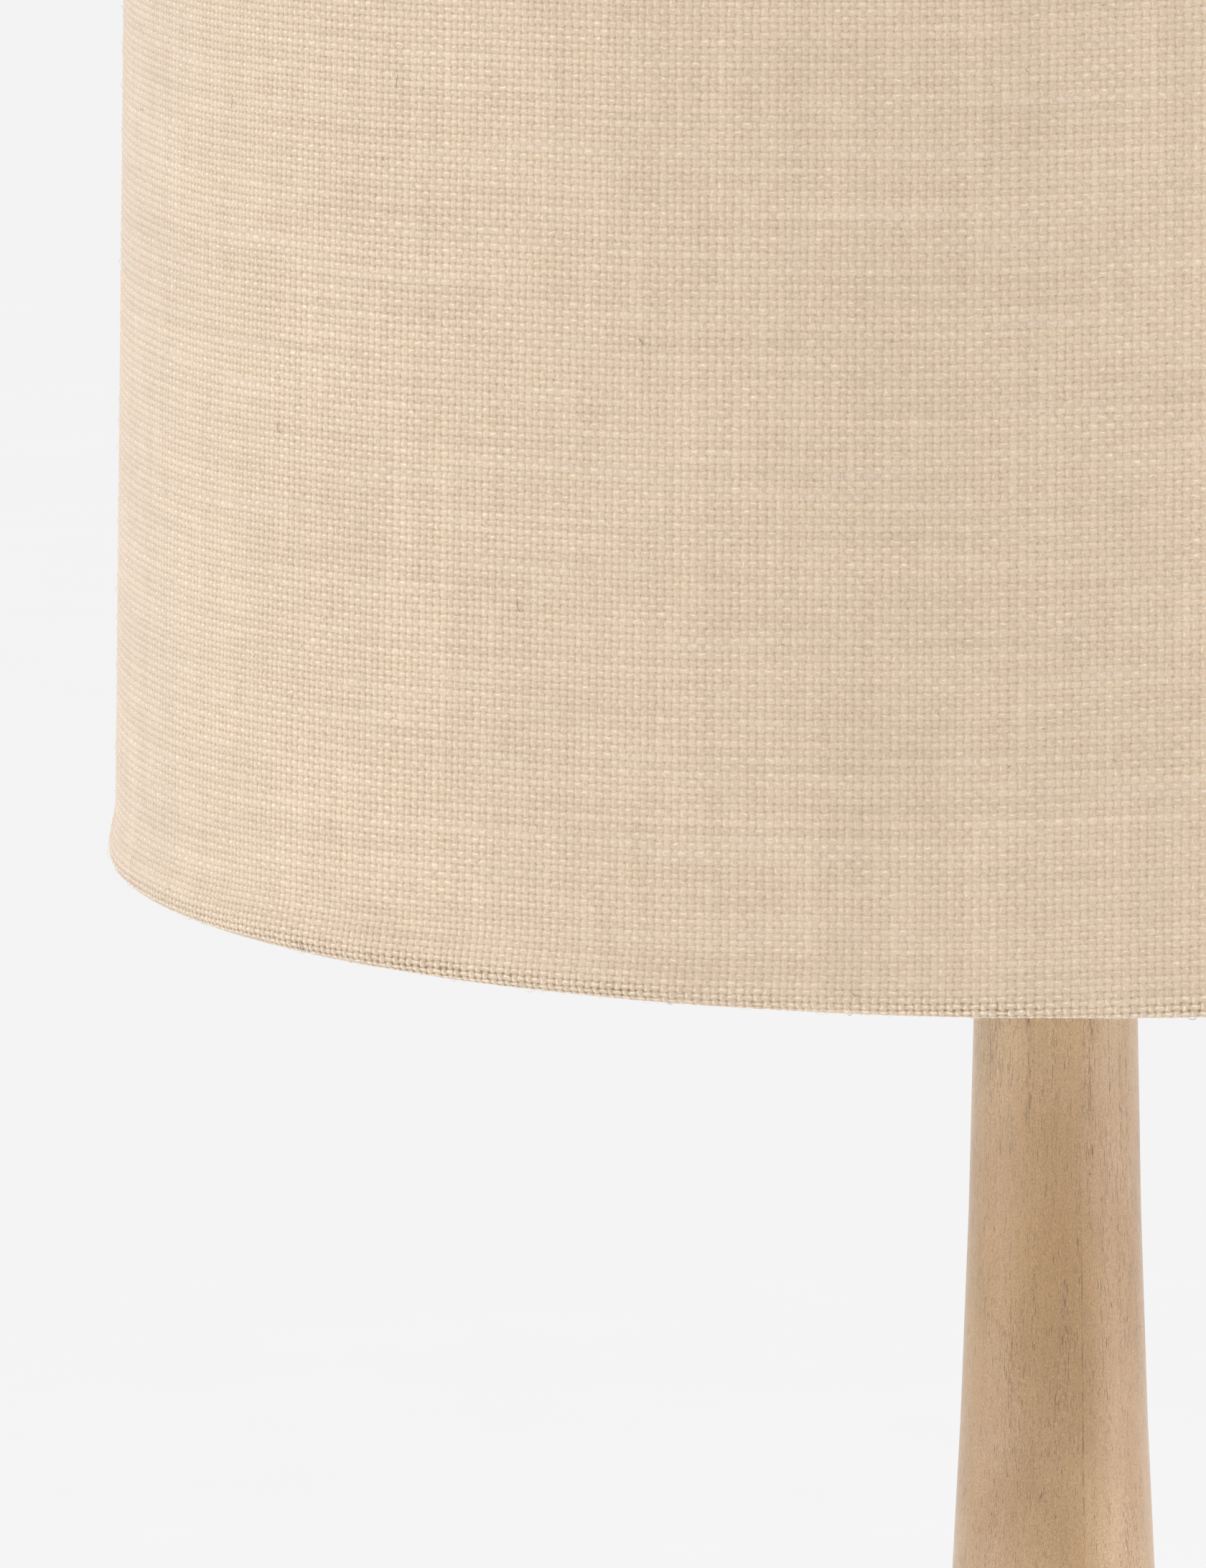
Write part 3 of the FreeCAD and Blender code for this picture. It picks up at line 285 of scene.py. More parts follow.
def wood_material(name, offset, light, dark, pores):
    """Pale open-pored wood, its grain upright.

    The offset gives each leg its own grain; pores says how many of its pores are open."""
    g = Graph(name)
    own = g.shift(g.place(), offset)
    shared = g.shift(g.place(), SHARED_SHIFT)

    patch = g.noise(g.scale(shared, (42, 42, 15)), 3.0, 0.55, distortion=0.6)
    tone = g.mix(g.ramp(patch, (0.36, 0.0), (0.64, 1.0)), dark, light)
    warmth = g.noise(g.scale(shared, (30, 30, 22)), 2.0, 0.5)
    tone = g.tint(tone, g.ramp(warmth, (0.42, (1.0, 1.0, 1.0)), (0.64, (0.985, 0.955, 0.895))))
    streak = g.noise(g.scale(own, (1500, 1500, 24)), 3.0, 0.6)
    tone = g.tint(tone, g.ramp(streak, (0.3, 0.94), (0.7, 1.05)))
    speck = g.noise(g.scale(own, (3600, 3600, 1900)), 1.0, 0.6)
    tone = g.tint(tone, g.ramp(speck, (0.3, 0.8), (0.7, 1.165)))

    x, y, z = g.split(g.place())
    # painted light: the neck is lighter just under the shade; the lower bands make it lighter or
    # darker by height
    rise = g.over(g.minus(z, BANDS_FOOT), BANDS_HEIGHT, clamp=True)
    tone = g.tint(tone, g.ramp(rise, *NECK_BANDS))

    column = g.noise(g.scale(own, (520, 520, 7)), 1.0, 0.5)
    cluster = g.noise(g.scale(own, (75, 75, 24)), 2.0, 0.5)
    where = g.plus(g.times(column, -0.30), g.times(cluster, -0.24))
    limit = g.plus(where, 1.0 - pores)

    def dashes(scale, shift):
        """Short upright marks, 1 on a mark and 0 off it, crowded in some columns and clusters."""
        spot = g.shift(g.scale(own, scale), shift)
        return g.times(g.minus(g.noise(spot, 0.0, 0.4), limit), 12.0, clamp=True)

    short = dashes((6600, 6600, 430), (0, 0, 0))
    long = dashes((6000, 6000, 150), (7, 3, 5))
    hole = g.math("MAXIMUM", short, long)
    tone = g.mix(g.times(hole, 0.8), tone, srgb(108, 75, 48))
    # pale specks among the pores
    pale_specks = dashes((5200, 5200, 1500), (3, 9, 1))
    tone = g.mix(g.times(pale_specks, 0.24), tone, srgb(228, 208, 184))

    turn = g.line(g.math("ARCTAN2", y, x), LEGS, LEGS * LEG_TURN)
    off_joint = g.over(g.plus(g.math("COSINE", turn), 1.0), JOINT_WIDTH)
    joint = g.minus(1.0, off_joint, clamp=True)
    rise = g.over(g.minus(z, JOINT_FOOT), JOINT_HEIGHT, clamp=True)
    broken = g.ramp(g.noise(g.scale(g.place(), (60, 60, 160)), 3.0, 0.7), (0.4, 0.1), (0.55, 1.0))
    joint = g.times(joint, g.times(g.ramp(rise, *JOINT_BANDS), broken))
    tone = g.mix(g.times(joint, 0.75), tone, srgb(112, 80, 54))

    g.set(Base_Color=tone, Roughness=g.line(streak, 0.12, 0.42), Specular_IOR_Level=0.5)
    g.set(Coat_Weight=0.25, Coat_Roughness=0.32, Sheen_Weight=0.35, Sheen_Roughness=0.45)
    height = g.minus(g.line(speck, 0.25, g.times(streak, 0.3)), hole)
    g.bump(height, 0.5, 0.00022)
    return g.material


def weave_material(name):
    """Plain weave of coarse natural yarn; U counts warp threads and V counts weft threads."""
    g = Graph(name)
    # the stored gap value: how far the threads stand apart, which also sets where painted shade and
    # painted highlight are stronger
    slub, gap_and_shade = g.stored("slub"), g.stored("gap_and_shade")

    def yarn_noise(x, y, layer, detail=3.0, rough=0.6):
        """Noise over (count, frequency) pairs; each layer is another pattern."""
        return g.noise(g.vector(g.times(*x), g.times(*y), layer), detail, rough)

    u, v, _ = g.split(g.uv())
    wobble_u = yarn_noise((u, 0.9), (v, 0.9), 11.0, 4.0, 0.7)
    wobble_v = yarn_noise((u, 0.9), (v, 0.9), 17.0, 4.0, 0.7)
    u = g.line(g.minus(wobble_u, 0.5), 0.9, u)
    v = g.line(g.minus(wobble_v, 0.5), 0.9, v)
    end, pick = g.math("FLOOR", u), g.math("FLOOR", v)
    across_end = g.minus(g.minus(u, end), 0.5)
    across_pick = g.minus(g.minus(v, pick), 0.5)
    parity = g.math("FLOORED_MODULO", g.plus(end, pick), 2.0)
    sign = g.line(parity, 2.0, -1.0)

    # The threads' widths and heights, and which one is on top
    weft_noise = yarn_noise((u, 0.09), (pick, 3.7), 0.0)
    warp_noise = yarn_noise((end, 3.7), (v, 0.07), 9.0)
    narrow = g.times(gap_and_shade, -0.16)
    weft_wide = g.plus(g.line(weft_noise, 0.6, 0.56), g.line(slub, 0.35, narrow))
    warp_wide = g.plus(g.line(warp_noise, 0.4, 0.78), narrow)

    def dome(offset, wide):
        """The round section of a thread."""
        across = g.over(g.times(offset, 2.0), wide)
        return g.math("SQRT", g.minus(1.0, g.times(across, across), clamp=True))

    def wave(offset):
        """The rise of a thread over its neighbour."""
        return g.math("COSINE", g.times(offset, math.pi))

    weft_dome = dome(across_pick, weft_wide)
    warp_dome = dome(across_end, warp_wide)
    weft_rise = g.times(sign, wave(across_end))
    warp_rise = g.times(g.times(sign, -1.0), wave(across_pick))
    weft_height = g.line(weft_rise, 0.36, g.line(weft_dome, 0.9, -0.35))
    warp_height = g.line(warp_rise, 0.36, g.line(warp_dome, 0.75, -0.32))
    height = g.math("MAXIMUM", weft_height, warp_height)
    lead = g.minus(weft_height, warp_height)
    is_weft = g.line(lead, 14.0, 0.5, clamp=True)

    # The yarn's colour, its fibres and the light along its crests
    weft_fibre = yarn_noise((u, 1.8), (v, 9.0), 1.0, rough=0.65)
    warp_fibre = yarn_noise((u, 9.0), (v, 1.8), 5.0, rough=0.65)
    fibre = g.mix(is_weft, warp_fibre, weft_fibre)
    weft_tone = g.ramp(weft_noise, (0.30, srgb(210, 187, 163)), (0.5, srgb(214, 192, 169)),
                       (0.7, srgb(218, 198, 177)))
    warp_tone = g.ramp(warp_noise, (0.30, srgb(209, 186, 162)), (0.5, srgb(213, 191, 167)),
                       (0.7, srgb(217, 196, 173)))
    weft_tone = g.mix(g.times(slub, 0.7, clamp=True), weft_tone, srgb(221, 202, 185))

    def crest(across, along, offset, width, strength):
        """A pale line of light along the top of a thread where it lies over its neighbours."""
        line = g.over(g.math("ABSOLUTE", g.plus(across, offset)), width)
        line = g.minus(1.0, line, clamp=True)
        run = g.times(g.minus(wave(along), 0.25), 1.6, clamp=True)
        return g.times(g.times(line, run), strength, clamp=True)

    shine = yarn_noise((u, 0.11), (v, 0.16), 41.0, rough=0.65)
    hem_lit = g.times(gap_and_shade, 1.3)
    weft_lit = g.times(g.line(weft_fibre, g.line(shine, 3.0, -0.5), hem_lit), 1.15)
    warp_lit = g.line(warp_fibre, g.line(shine, -2.6, 2.2), hem_lit)
    weft_crest = crest(across_pick, across_end, 0.14, 0.17, weft_lit)
    warp_crest = crest(across_end, across_pick, 0.16, 0.16, warp_lit)
    weft_tone = g.mix(weft_crest, weft_tone, srgb(241, 226, 204))
    warp_tone = g.mix(warp_crest, warp_tone, srgb(239, 223, 200))
    tone = g.mix(is_weft, warp_tone, weft_tone)

    # Unevenness over many threads, then over one
    cloud = yarn_noise((u, 0.035), (v, 0.07), 3.0, rough=0.55)
    tone = g.tint(tone, g.ramp(cloud, (0.3, (0.975, 0.97, 0.955)), (0.7, (1.02, 1.02, 1.01))))
    rows = yarn_noise((u, 0.017), (pick, 0.71), 21.0, rough=0.7)
    tone = g.tint(tone, g.ramp(rows, (0.3, (0.94, 0.935, 0.93)), (0.5, 1.0), (0.7, 1.035)))
    stripes = yarn_noise((end, 0.31), (v, 0.01), 27.0, rough=0.7)
    tone = g.tint(tone, g.ramp(stripes, (0.3, 0.965), (0.7, 1.03)))
    fleck = yarn_noise((u, 0.9), (v, 2.6), 33.0, 1.0, 0.5)
    fleck = g.times(g.minus(fleck, 0.762), 18.0, clamp=True)
    tone = g.mix(g.times(fleck, 0.6), tone, srgb(128, 108, 88))
    tone = g.tint(tone, g.ramp(fibre, (0.3, 0.89), (0.7, 1.08)))
    uneven = yarn_noise((u, 1.9), (v, 1.9), 51.0, 2.0, 0.7)
    tone = g.tint(tone, g.ramp(uneven, (0.3, 0.91), (0.7, 1.07)))

    # Painted shade: the dark places between threads, at their crossings, in low places, and more
    # where the threads stand apart
    apart = g.math("ABSOLUTE", lead)
    pinch = yarn_noise((u, 0.45), (v, 0.6), 61.0, rough=0.7)
    crossing = g.ramp(apart, (0.0, 1.0), (0.2, 0.0))
    shade = g.times(crossing, g.ramp(pinch, (0.36, 0.15), (0.64, 1.0)))
    tone = g.mix(g.times(shade, 0.35), tone, srgb(104, 80, 58))
    # painted shade in the low places between threads
    edge = g.ramp(height, (0.0, 0.80), (0.25, 0.95), (0.42, 1.0))
    # painted shade, deeper where the threads stand apart
    open_shade = g.ramp(height, (0.0, (0.42, 0.37, 0.31)), (0.3, (0.74, 0.71, 0.67)),
                  (0.58, (0.935, 0.932, 0.94)))
    tone = g.tint(tone, g.mix(gap_and_shade, edge, open_shade))

    g.set(Base_Color=tone, Roughness=g.line(fibre, 0.16, 0.82))
    g.set(Specular_IOR_Level=0.2, Sheen_Weight=0.38, Sheen_Roughness=0.45)
    g.bump(g.line(fibre, 0.25, height), 0.48, 0.0002)
    return g.material


def metal_material(name, colour, rough):
    """Satin metal with fine turning marks and faint smudges."""
    g = Graph(name)
    marks = g.noise(g.scale(g.place(), (900, 900, 30)), 2.0, 0.6)
    smudge = g.noise(g.place(), 3.0, 0.6, scale=45.0)
    smudged = tuple(c * 0.75 for c in colour)
    g.set(Base_Color=g.mix(g.ramp(smudge, (0.3, 0.0), (0.8, 0.35)), colour, smudged))
    g.set(Roughness=g.line(marks, 0.18, rough - 0.06), Metallic=1.0)
    g.bump(marks, 0.15, 0.00005)
    return g.material


def plain_material(name, colour, rough, grain=700.0, depth=0.00006):
    """Moulded or coated surface with a fine skin and slight tone changes."""
    g = Graph(name)
    skin = g.noise(g.place(), 2.0, 0.55, scale=grain)
    cloud = g.noise(g.place(), 3.0, 0.6, scale=30.0)
    darker = tuple(c * 0.82 for c in colour)
    g.set(Base_Color=g.mix(g.ramp(cloud, (0.35, 0.0), (0.75, 0.6)), colour, darker))
    g.set(Roughness=g.line(skin, 0.12, rough - 0.06))
    g.bump(skin, 0.25, depth)
    return g.material


def fibre_material():
    """Pale hairs, and a few brown ones, which have 1 for their slub."""
    g = Graph("fibre")
    tone = g.noise(g.place(), 2.0, 0.6, scale=900.0)
    pale = g.ramp(tone, (0.3, srgb(224, 204, 180)), (0.7, srgb(244, 230, 210)))
    g.set(Base_Color=g.mix(g.stored("slub"), pale, srgb(112, 92, 72)))
    g.set(Roughness=g.line(tone, 0.2, 0.6), Specular_IOR_Level=0.3, Sheen_Weight=0.2)
    g.bump(tone, 0.2, 0.00003)
    return g.material


# ---------------------------------------------------------------- cloth

def cloth_profile():
    """The cloth from inside the top to inside the foot, as arrays along its length.

    They are length, radius, height, and the outward normal's radial and upright parts."""
    def wall(z):
        return CLOTH_RADIUS - (z - RIM_Z) * TAPER

    def roll(edge, side):
        """From the wall over a ring and back inside, for the foot (side 1) or the top (-1)."""
        middle = edge + side * RING
        start = edge + side * SWELL_REACH
        path = []
        for step in np.linspace(0, 1, SWELL_POINTS):
            z = start + (middle - start) * step
            path.append((wall(z) + SWELL * (3 * step ** 2 - 2 * step ** 3), z))
        outer = wall(middle) + SWELL
        for angle in np.linspace(0, math.pi, ROLL_POINTS)[1:]:
            inward, beyond = RING * (1 - math.cos(angle)), RING * math.sin(angle)
            path.append((outer - inward, middle - side * beyond))
        for wall_up, up, inside in FLANGE_POINTS:
            path.append((wall(middle + side * wall_up) - inside, middle + side * up))
        return path

    points = np.array(roll(SHADE_TOP_Z, -1)[::-1] + roll(RIM_Z, 1))
    steps = np.hypot(*np.diff(points, axis=0).T)
    length = np.concatenate([[0], np.cumsum(steps)])
    fine = np.arange(0, length[-1], PROFILE_STEP)
    radius = np.interp(fine, length, points[:, 0])
    height = np.interp(fine, length, points[:, 1])
    kernel = np.ones(5) / 5
    radius[2:-2] = np.convolve(radius, kernel, "valid")
    height[2:-2] = np.convolve(height, kernel, "valid")
    dr, dz = np.gradient(radius), np.gradient(height)
    size = np.hypot(dr, dz)
    return fine, radius, height, -dz / size, dr / size


FINE, PROFILE_R, PROFILE_Z, PROFILE_NR, PROFILE_NZ = cloth_profile()
CLOTH_LENGTH = FINE[-1]
PICKS = int(CLOTH_LENGTH / PICK)
TOP_LINE = FINE[np.argmax(PROFILE_Z)]
FOOT_LINE = FINE[np.argmin(PROFILE_Z)]


def on_profile(s, lift):
    """Radius and height of points at lengths s along the profile, lifted off it."""
    r = np.interp(s, FINE, PROFILE_R) + np.interp(s, FINE, PROFILE_NR) * lift
    z = np.interp(s, FINE, PROFILE_Z) + np.interp(s, FINE, PROFILE_NZ) * lift
    return r, z


def smooth_noise(count, width, seed):
    """Periodic noise of about unit size, smoothed over a width."""
    values = np.random.default_rng(seed).standard_normal(count)
    apart = np.minimum(np.arange(count), count - np.arange(count))
    reach = np.exp(-0.5 * (apart / width) ** 2)
    out = np.real(np.fft.ifft(np.fft.fft(values) * np.fft.fft(reach)))
    return out / out.std()


def thread_places(count, spread, seed):
    """Places of the count + 1 gaps between threads, 0 to count, a little uneven."""
    single, wide = smooth_noise(count, 0.6, seed), smooth_noise(count, 4, seed + 1)
    width = 1 + spread * (0.6 * single + 0.5 * wide)
    gaps = np.concatenate([[0], np.cumsum(width)])
    return gaps * count / gaps[-1]


def half_steps(values):
    """Values at gaps and, halfway between them, at threads' middles."""
    out = np.empty(2 * len(values) - 1)
    out[::2] = values
    out[1::2] = (values[:-1] + values[1:]) / 2
    return out


def slub_field():
    """How much thicker each weft thread is, along each warp place: a few long soft slubs."""
    field = np.zeros((PICKS, ENDS))
    picker = np.random.default_rng(SLUB_SEED)
    for _ in range(SLUBS):
        row = picker.integers(PICKS)
        start = picker.integers(ENDS)
        length = int(picker.integers(*SLUB_LENGTHS))
        along = np.sin(np.linspace(0, math.pi, length)) ** 0.7
        columns = (start + np.arange(length)) % ENDS
        slub = along * picker.uniform(*SLUB_STRENGTHS)
        field[row, columns] = np.maximum(field[row, columns], slub)
    return field


def hem_gaps(s):
    """How far the threads stand apart, 0 to 1, at lengths s (rows by columns) along the profile.

    They do most where the cloth turns over the foot's ring; one side gets a little more, for more
    painted shade between the threads and painted highlight on them there."""
    band = np.exp(-((FOOT_LINE - s - GAPS_AT) / GAPS_REACH) ** 2)
    columns = s.shape[1]
    if columns < 2 * ENDS:
        return band * SEAM_GAPS
    fine = smooth_noise(columns - 1, 9, GAPS_SEED)
    coarse = smooth_noise(columns - 1, 60, GAPS_SEED + 1)
    uneven = 0.62 + 0.24 * fine + 0.15 * coarse
    uneven = np.clip(np.append(uneven, uneven[0]), 0.05, 1.0)
    around = np.linspace(0, 2 * math.pi, columns)
    front = 0.7 + 0.5 * np.clip(np.cos(around - math.pi), 0, 1) ** 3
    # one side raised, for more painted shade and painted highlight there
    side_shading = SIDE_SHADING * np.exp(-((around - SIDE_SHADING_AT) / SIDE_SHADING_REACH) ** 2)
    return np.clip(band * (uneven * front)[None, :] + side_shading[None, :], 0, 1)


def weave_grid(warp, slub, weft, lift=0.0):
    """Vertex places, UVs, slubs and gaps of woven cloth, as arrays of rows by columns.

    warp and weft hold the places, in threads, of the gaps between threads and of the threads'
    middles by turns; slub has one value for each crossing, and lift is in millimetres."""
    columns, rows = len(warp), len(weft)
    turn = math.pi / 2 + 2 * math.pi * warp / ENDS
    bow = BOW * np.sin(turn + BOW_TURN)
    for size, waves, start in RIPPLES:
        bow = bow + size * np.sin(waves * turn + start)
    straight = weft[:, None] * CLOTH_LENGTH / PICKS
    fade = np.clip(np.minimum(straight, CLOTH_LENGTH - straight) / BOW_FADE, 0, 1)
    fade = fade ** 2 * (3 - 2 * fade)
    s = straight + fade * bow[None, :]

    row, column = np.arange(rows)[:, None], np.arange(columns)[None, :]
    end, pick = np.minimum(column // 2, columns // 2 - 1), np.minimum(row // 2, rows // 2 - 1)
    thick = slub[np.broadcast_to(pick, (rows, columns)), np.broadcast_to(end, (rows, columns))]
    on_weft, on_warp = row % 2 == 1, column % 2 == 1
    weft_over = (end + pick) % 2 == 1
    crown = np.where(weft_over, WEFT_CROWN + WEFT_CROWN_SLUB * thick, WARP_CROWN)
    h = np.full((rows, columns), HOLE)
    h = np.where(on_weft & on_warp, crown, h)
    h = np.where(on_weft & ~on_warp, WEFT_SIDE + WEFT_SIDE_SLUB * thick, h)
    h = np.where(~on_weft & on_warp, WARP_SIDE, h)
    noise = np.random.default_rng(HEIGHT_SEED).standard_normal((rows, columns - 1)) * UNEVEN
    h = h + np.concatenate([noise, noise[:, :1]], axis=1)
    h[:, -1] = h[:, 0]

    r, z = on_profile(s, h + lift)
    places = np.stack([r * np.cos(turn)[None, :], r * np.sin(turn)[None, :], z], axis=-1) * MM
    u = np.broadcast_to(column / 2, (rows, columns))
    v = np.broadcast_to(row / 2, (rows, columns))
    return places, u, v, thick, hem_gaps(s)


def store(mesh, name, values):
    """Store a number at each of the mesh's points."""
    layer = mesh.attributes.new(name=name, type="FLOAT", domain="POINT")
    layer.data.foreach_set("value", np.ascontiguousarray(values).reshape(-1).astype(np.float32))


def grid_mesh(name, places, u, v, slub, gap_and_shade):
    """A mesh from a grid of places, with its UVs and its stored slubs and gaps."""
    rows, columns = places.shape[:2]
    index = np.arange(rows * columns).reshape(rows, columns)
    corners = (index[:-1, :-1], index[1:, :-1], index[1:, 1:], index[:-1, 1:])
    faces = np.stack(corners, axis=-1).reshape(-1, 4)
    mesh = bpy.data.meshes.new(name)
    mesh.vertices.add(rows * columns)
    mesh.vertices.foreach_set("co", places.reshape(-1).astype(np.float32))
    mesh.loops.add(faces.size)
    mesh.loops.foreach_set("vertex_index", faces.reshape(-1).astype(np.int32))
    mesh.polygons.add(len(faces))
    mesh.polygons.foreach_set("loop_start", np.arange(0, faces.size, 4, dtype=np.int32))
    mesh.update(calc_edges=True)
    layer = mesh.uv_layers.new(name="weave")
    pairs = np.stack([u.reshape(-1), v.reshape(-1)], axis=-1)[faces.reshape(-1)]
    layer.data.foreach_set("uv", pairs.reshape(-1).astype(np.float32))
    store(mesh, "slub", slub)
    store(mesh, "gap_and_shade", gap_and_shade)
    mesh.shade_smooth()
    return mesh


def add_piece(name, mesh, material, body, replaces=()):
    """Put a mesh in the scene, riding on a body."""
    piece = bpy.data.objects.new(name, mesh)
    bpy.context.scene.collection.objects.link(piece)
    mesh.materials.append(material)
    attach(piece, body)
    if replaces:
        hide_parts(*replaces)
    return piece


def build_cloth(material):
    """The shade's cloth and both hems, in panels side by side."""
    warp = half_steps(thread_places(ENDS, ENDS_SPREAD, ENDS_SEED))
    weft = half_steps(thread_places(PICKS, PICKS_SPREAD, PICKS_SEED))
    grid = weave_grid(warp, slub_field(), weft)
    step = 2 * ENDS_PER_PANEL
    for panel in range(PANELS):
        part = slice(panel * step, (panel + 1) * step + 1)
        mesh = grid_mesh(f"cloth_{panel + 1}", *(values[:, part] for values in grid))
        piece = add_piece(f"shade_cloth_{panel + 1}", mesh, material, "shade",
                          ("shade_fabric", "shade_hem_bottom", "shade_hem_top"))


def build_seam(material):
    """The overlap where the cloth's two ends are glued together, at the back."""
    top, foot = TOP_LINE + 1.0, FOOT_LINE - 1.0
    first, last = int(top * PICKS / CLOTH_LENGTH), int(foot * PICKS / CLOTH_LENGTH)
    rows = last - first
    weft = np.arange(2 * first, 2 * last + 1) / 2
    warp = np.arange(-SEAM_ENDS, SEAM_ENDS + 1) / 2
    edge = np.minimum(np.arange(len(warp)), np.arange(len(warp))[::-1])
    lift = np.minimum(edge / 1.5, 1.0)[None, :] * SEAM_LIFT
    places, u, v, slub, gap_and_shade = weave_grid(warp, np.zeros((rows, SEAM_ENDS)), weft, lift)
    mesh = grid_mesh("seam", places, u + SEAM_UV[0], v + SEAM_UV[1], slub, gap_and_shade)
    piece = add_piece("shade_seam_cloth", mesh, material, "shade",
                      ("shade_seam",))


def fibre_path(picker):
    """Points of one loose hair on the cloth, their outward normals, and whether it is dark."""
    turn = picker.uniform(0, 2 * math.pi)
    if picker.random() < HEM_SHARE:
        start = FOOT_LINE - abs(picker.normal(0, 4)) + 1.5
    else:
        start = picker.uniform(TOP_LINE + 6, FOOT_LINE - 4)
    length = picker.uniform(*HAIR_LENGTHS)
    heading = picker.choice([0, math.pi / 2]) + picker.normal(0, 0.5)
    bend = picker.normal(0, 1.4)
    lift = picker.uniform(*HAIR_LIFTS)
    t = np.linspace(0, 1, HAIR_POINTS)
    along = np.cumsum(np.cos(heading + bend * t)) * length / HAIR_POINTS
    down = np.cumsum(np.sin(heading + bend * t)) * length / HAIR_POINTS
    r, z = on_profile(start + down, HAIR_FOOT + lift * np.sin(math.pi * t))
    around = turn + along / CLOTH_RADIUS
    places = np.stack([r * np.cos(around), r * np.sin(around), z], axis=-1)
    normals = np.stack([np.cos(around), np.sin(around), 0 * around], axis=-1)
    return places, normals, picker.random() < DARK_SHARE


def build_fibres(material):
    """Loose hairs that stand off the cloth, some at the hem: closed tubes of three sides."""
    picker = np.random.default_rng(HAIR_SEED)
    sections = np.sin(math.pi * np.linspace(0.06, 0.94, HAIR_POINTS)) * 1.6
    taper = np.clip(sections, 0.3, 1)[:, None]
    verts, faces, dark = [], [], []
    for _ in range(HAIRS):
        places, normals, is_dark = fibre_path(picker)
        tangent = np.gradient(places, axis=0)
        tangent /= np.linalg.norm(tangent, axis=1)[:, None]
        side = np.cross(tangent, normals)
        side /= np.linalg.norm(side, axis=1)[:, None]
        radius = taper * picker.uniform(*HAIR_RADII) * (DARK_RADIUS if is_dark else 1.0)
        ring = (side * radius, -side * 0.5 * radius + normals * 0.87 * radius,
                -side * 0.5 * radius - normals * 0.87 * radius)
        points = np.stack([places + offset for offset in ring], axis=1) * MM
        first, last = len(verts), len(verts) + HAIR_SIDES * (HAIR_POINTS - 1)
        verts += points.reshape(-1, 3).tolist()
        dark += [float(is_dark)] * (HAIR_SIDES * HAIR_POINTS)
        for start in range(first, last, HAIR_SIDES):
            for corner in range(HAIR_SIDES):
                a, b = start + corner, start + (corner + 1) % HAIR_SIDES
                faces.append((a, b, b + HAIR_SIDES, a + HAIR_SIDES))
        faces += [(first + 2, first + 1, first), (last, last + 1, last + 2)]
    mesh = bpy.data.meshes.new("fibres")
    mesh.from_pydata(verts, [], faces)
    store(mesh, "slub", dark)
    mesh.shade_smooth()
    add_piece("shade_fibres", mesh, material, "shade")


# ---------------------------------------------------------------- assembly

def dress(material, *nodes):
    """Give CAD nodes a material."""
    for node in nodes:
        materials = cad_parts[node].data.materials
        materials.clear()
        materials.append(material)


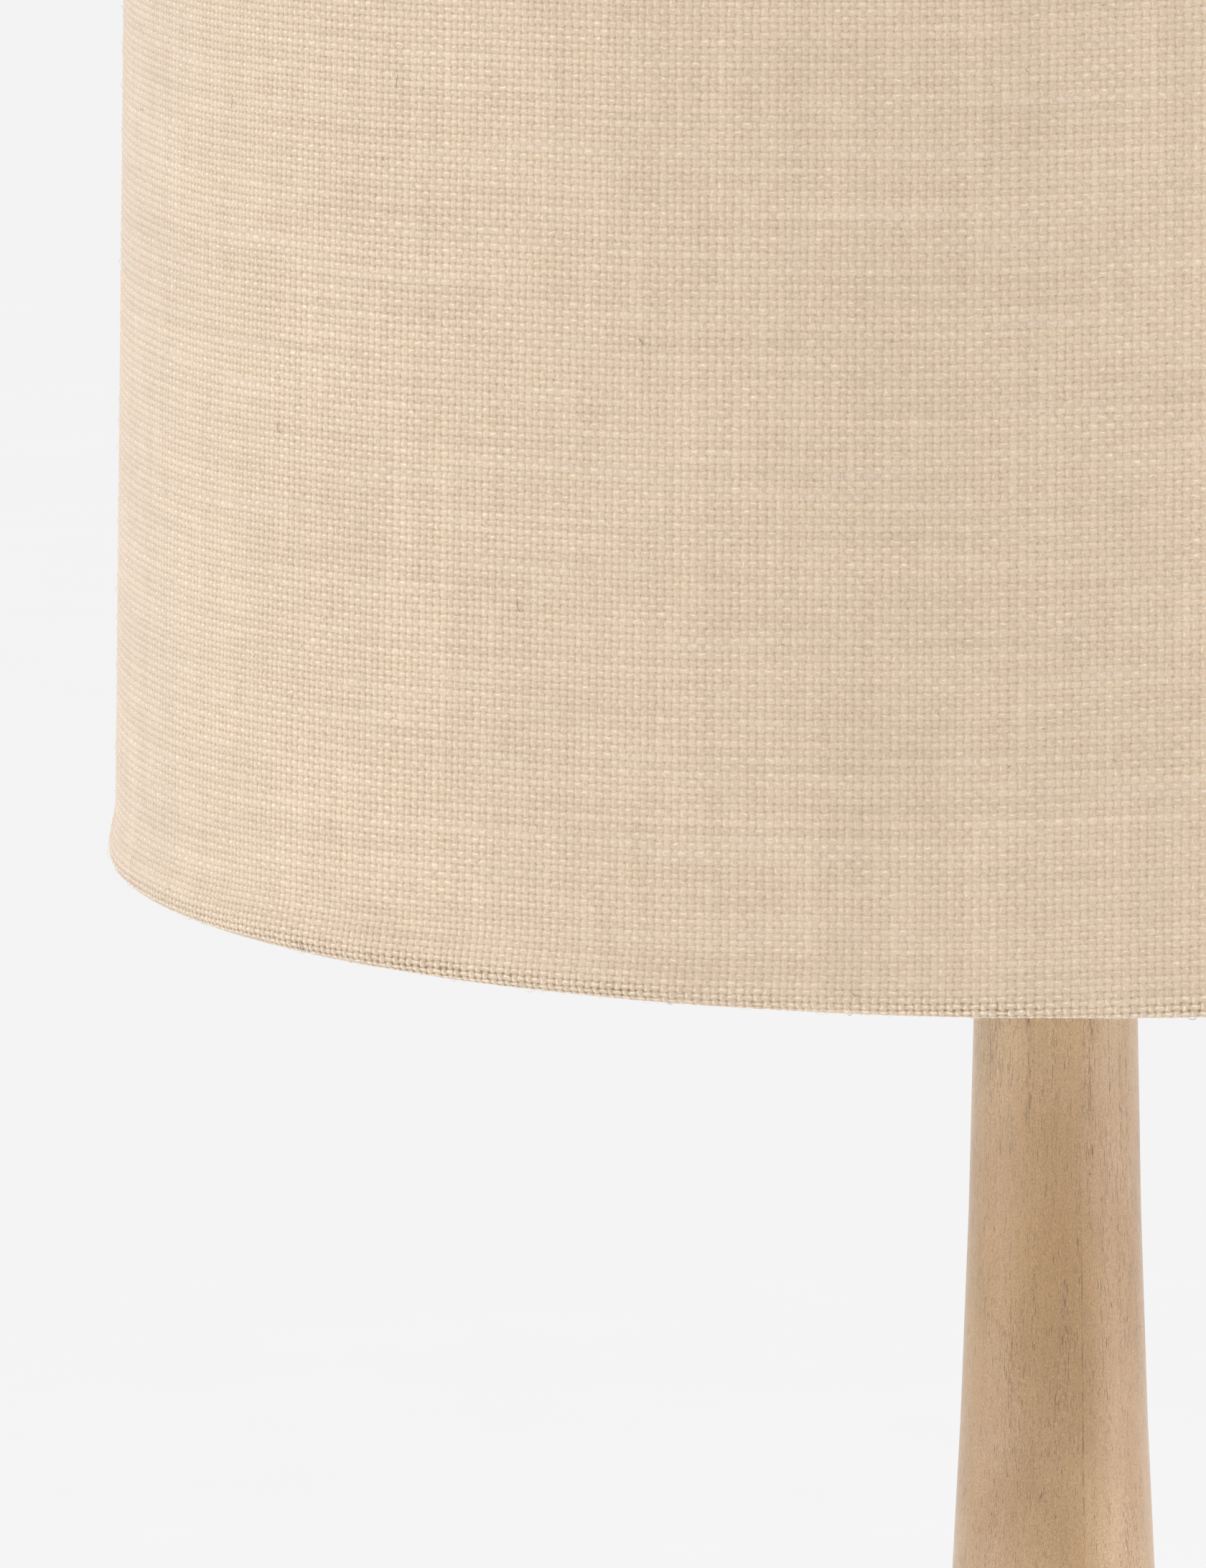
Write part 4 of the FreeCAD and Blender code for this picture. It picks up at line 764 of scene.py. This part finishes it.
def build_materials():
    """Give every node and every piece of cloth its material."""
    light, dark = srgb(174, 142, 107), srgb(159, 127, 91)
    dress(wood_material("wood_front", (0.3, 0.1, 0.0), srgb(179, 147, 110), srgb(166, 133, 96),
                        0.006), "leg_front")
    dress(wood_material("wood_right", (0.7, 0.45, 2.1), srgb(179, 147, 112), srgb(166, 133, 97),
                        0.012), "leg_right")
    dress(wood_material("wood_rear", (1.3, 0.8, 4.4), light, dark, 0.015), "leg_rear")
    dress(wood_material("wood_dowel", (2.0, 1.0, 1.0), light, dark, 0.0), "glue_dowels")

    dress(metal_material("nickel", srgb(205, 200, 192), 0.32),
          "neck_cap", "harp_saddle", "saddle_nut", "socket_cap", "socket_shell", "harp",
          "harp_stud", "harp_sleeve_right", "harp_sleeve_left", "finial")
    dress(metal_material("steel", srgb(176, 174, 170), 0.38),
          "lamp_pipe", "pipe_washer", "pipe_locknut", "glide_nails", "socket_set_screw", "bulb_tip")
    dress(metal_material("brass", srgb(214, 178, 110), 0.3),
          "screw_shell", "centre_contact", "switch_shaft")
    dress(metal_material("bulb_metal", srgb(200, 200, 198), 0.35), "bulb_cap")

    dress(plain_material("black_plastic", srgb(38, 36, 35), 0.42), "cord_bushing", "switch_knob")
    dress(plain_material("phenolic", srgb(52, 40, 34), 0.35), "socket_body")
    dress(plain_material("card", srgb(150, 140, 122), 0.85, 1200.0, 0.0001), "insulating_sleeve")
    dress(plain_material("nylon", srgb(222, 218, 208), 0.5), "foot_glides")
    dress(plain_material("bulb_plastic", srgb(216, 214, 208), 0.4), "bulb_housing")
    dress(plain_material("bulb_frost", srgb(228, 225, 216), 0.3, 1500.0, 0.00003), "bulb_globe")
    dress(plain_material("white_wire", srgb(212, 209, 201), 0.4, 500.0, 0.00008),
          "shade_spider", "shade_bottom_ring")
    dress(plain_material("liner", srgb(240, 235, 223), 0.55, 260.0, 0.00012), "shade_liner")

    cloth = weave_material("weave")
    build_cloth(cloth)
    build_seam(cloth)
    build_fibres(fibre_material())


def build_stage():
    """Pale floor, soft surroundings, and softboxes on both sides."""
    mesh = bpy.data.meshes.new("floor")
    near, far = -FLOOR_REACH, FLOOR_REACH
    mesh.from_pydata([(near, near, 0), (far, near, 0), (far, far, 0), (near, far, 0)], [],
                     [(0, 1, 2, 3)])
    floor = bpy.data.objects.new("floor", mesh)
    bpy.context.scene.collection.objects.link(floor)
    g = Graph("floor")
    speck = g.noise(g.place(), 2.0, 0.5, scale=9.0)
    g.set(Base_Color=g.ramp(speck, (0.0, 0.905), (1.0, 0.92)), Roughness=0.9,
          Specular_IOR_Level=0.0)
    floor.data.materials.append(g.material)

    world = bpy.data.worlds.new("studio")
    bpy.context.scene.world = world
    world.use_nodes = True
    background = world.node_tree.nodes["Background"]
    background.inputs["Color"].default_value = (1, 1, 1, 1)
    background.inputs["Strength"].default_value = SURROUND

    for name, spot, aim, width, height, watts in SOFTBOXES:
        lamp = bpy.data.lights.new(name, "AREA")
        lamp.shape = "RECTANGLE"
        lamp.size, lamp.size_y, lamp.energy = width, height, watts
        item = bpy.data.objects.new(name, lamp)
        item.location = spot
        facing = Vector(aim) - Vector(spot)
        item.rotation_euler = facing.to_track_quat("-Z", "Y").to_euler()
        bpy.context.scene.collection.objects.link(item)


def build_camera():
    """The camera, where the rim's ellipse and the threads' slope put it."""
    rim = RIM_RADIUS * MM
    camera = bpy.data.cameras.new("camera")
    camera.sensor_fit = "VERTICAL"
    camera.sensor_height = camera.sensor_width = SENSOR
    camera.lens = FOCAL / PICTURE_HEIGHT * SENSOR
    camera.clip_end = 200
    item = bpy.data.objects.new("camera", camera)
    item.location = (0, -CAMERA_BACK * rim, RIM_HEIGHT + CAMERA_UP * rim)
    item.rotation_euler = (math.pi / 2 - PITCH, 0, YAW)
    bpy.context.scene.collection.objects.link(item)
    bpy.context.scene.camera = item


build_materials()
build_stage()
build_camera()
bpy.context.scene.view_settings.view_transform = "Standard"
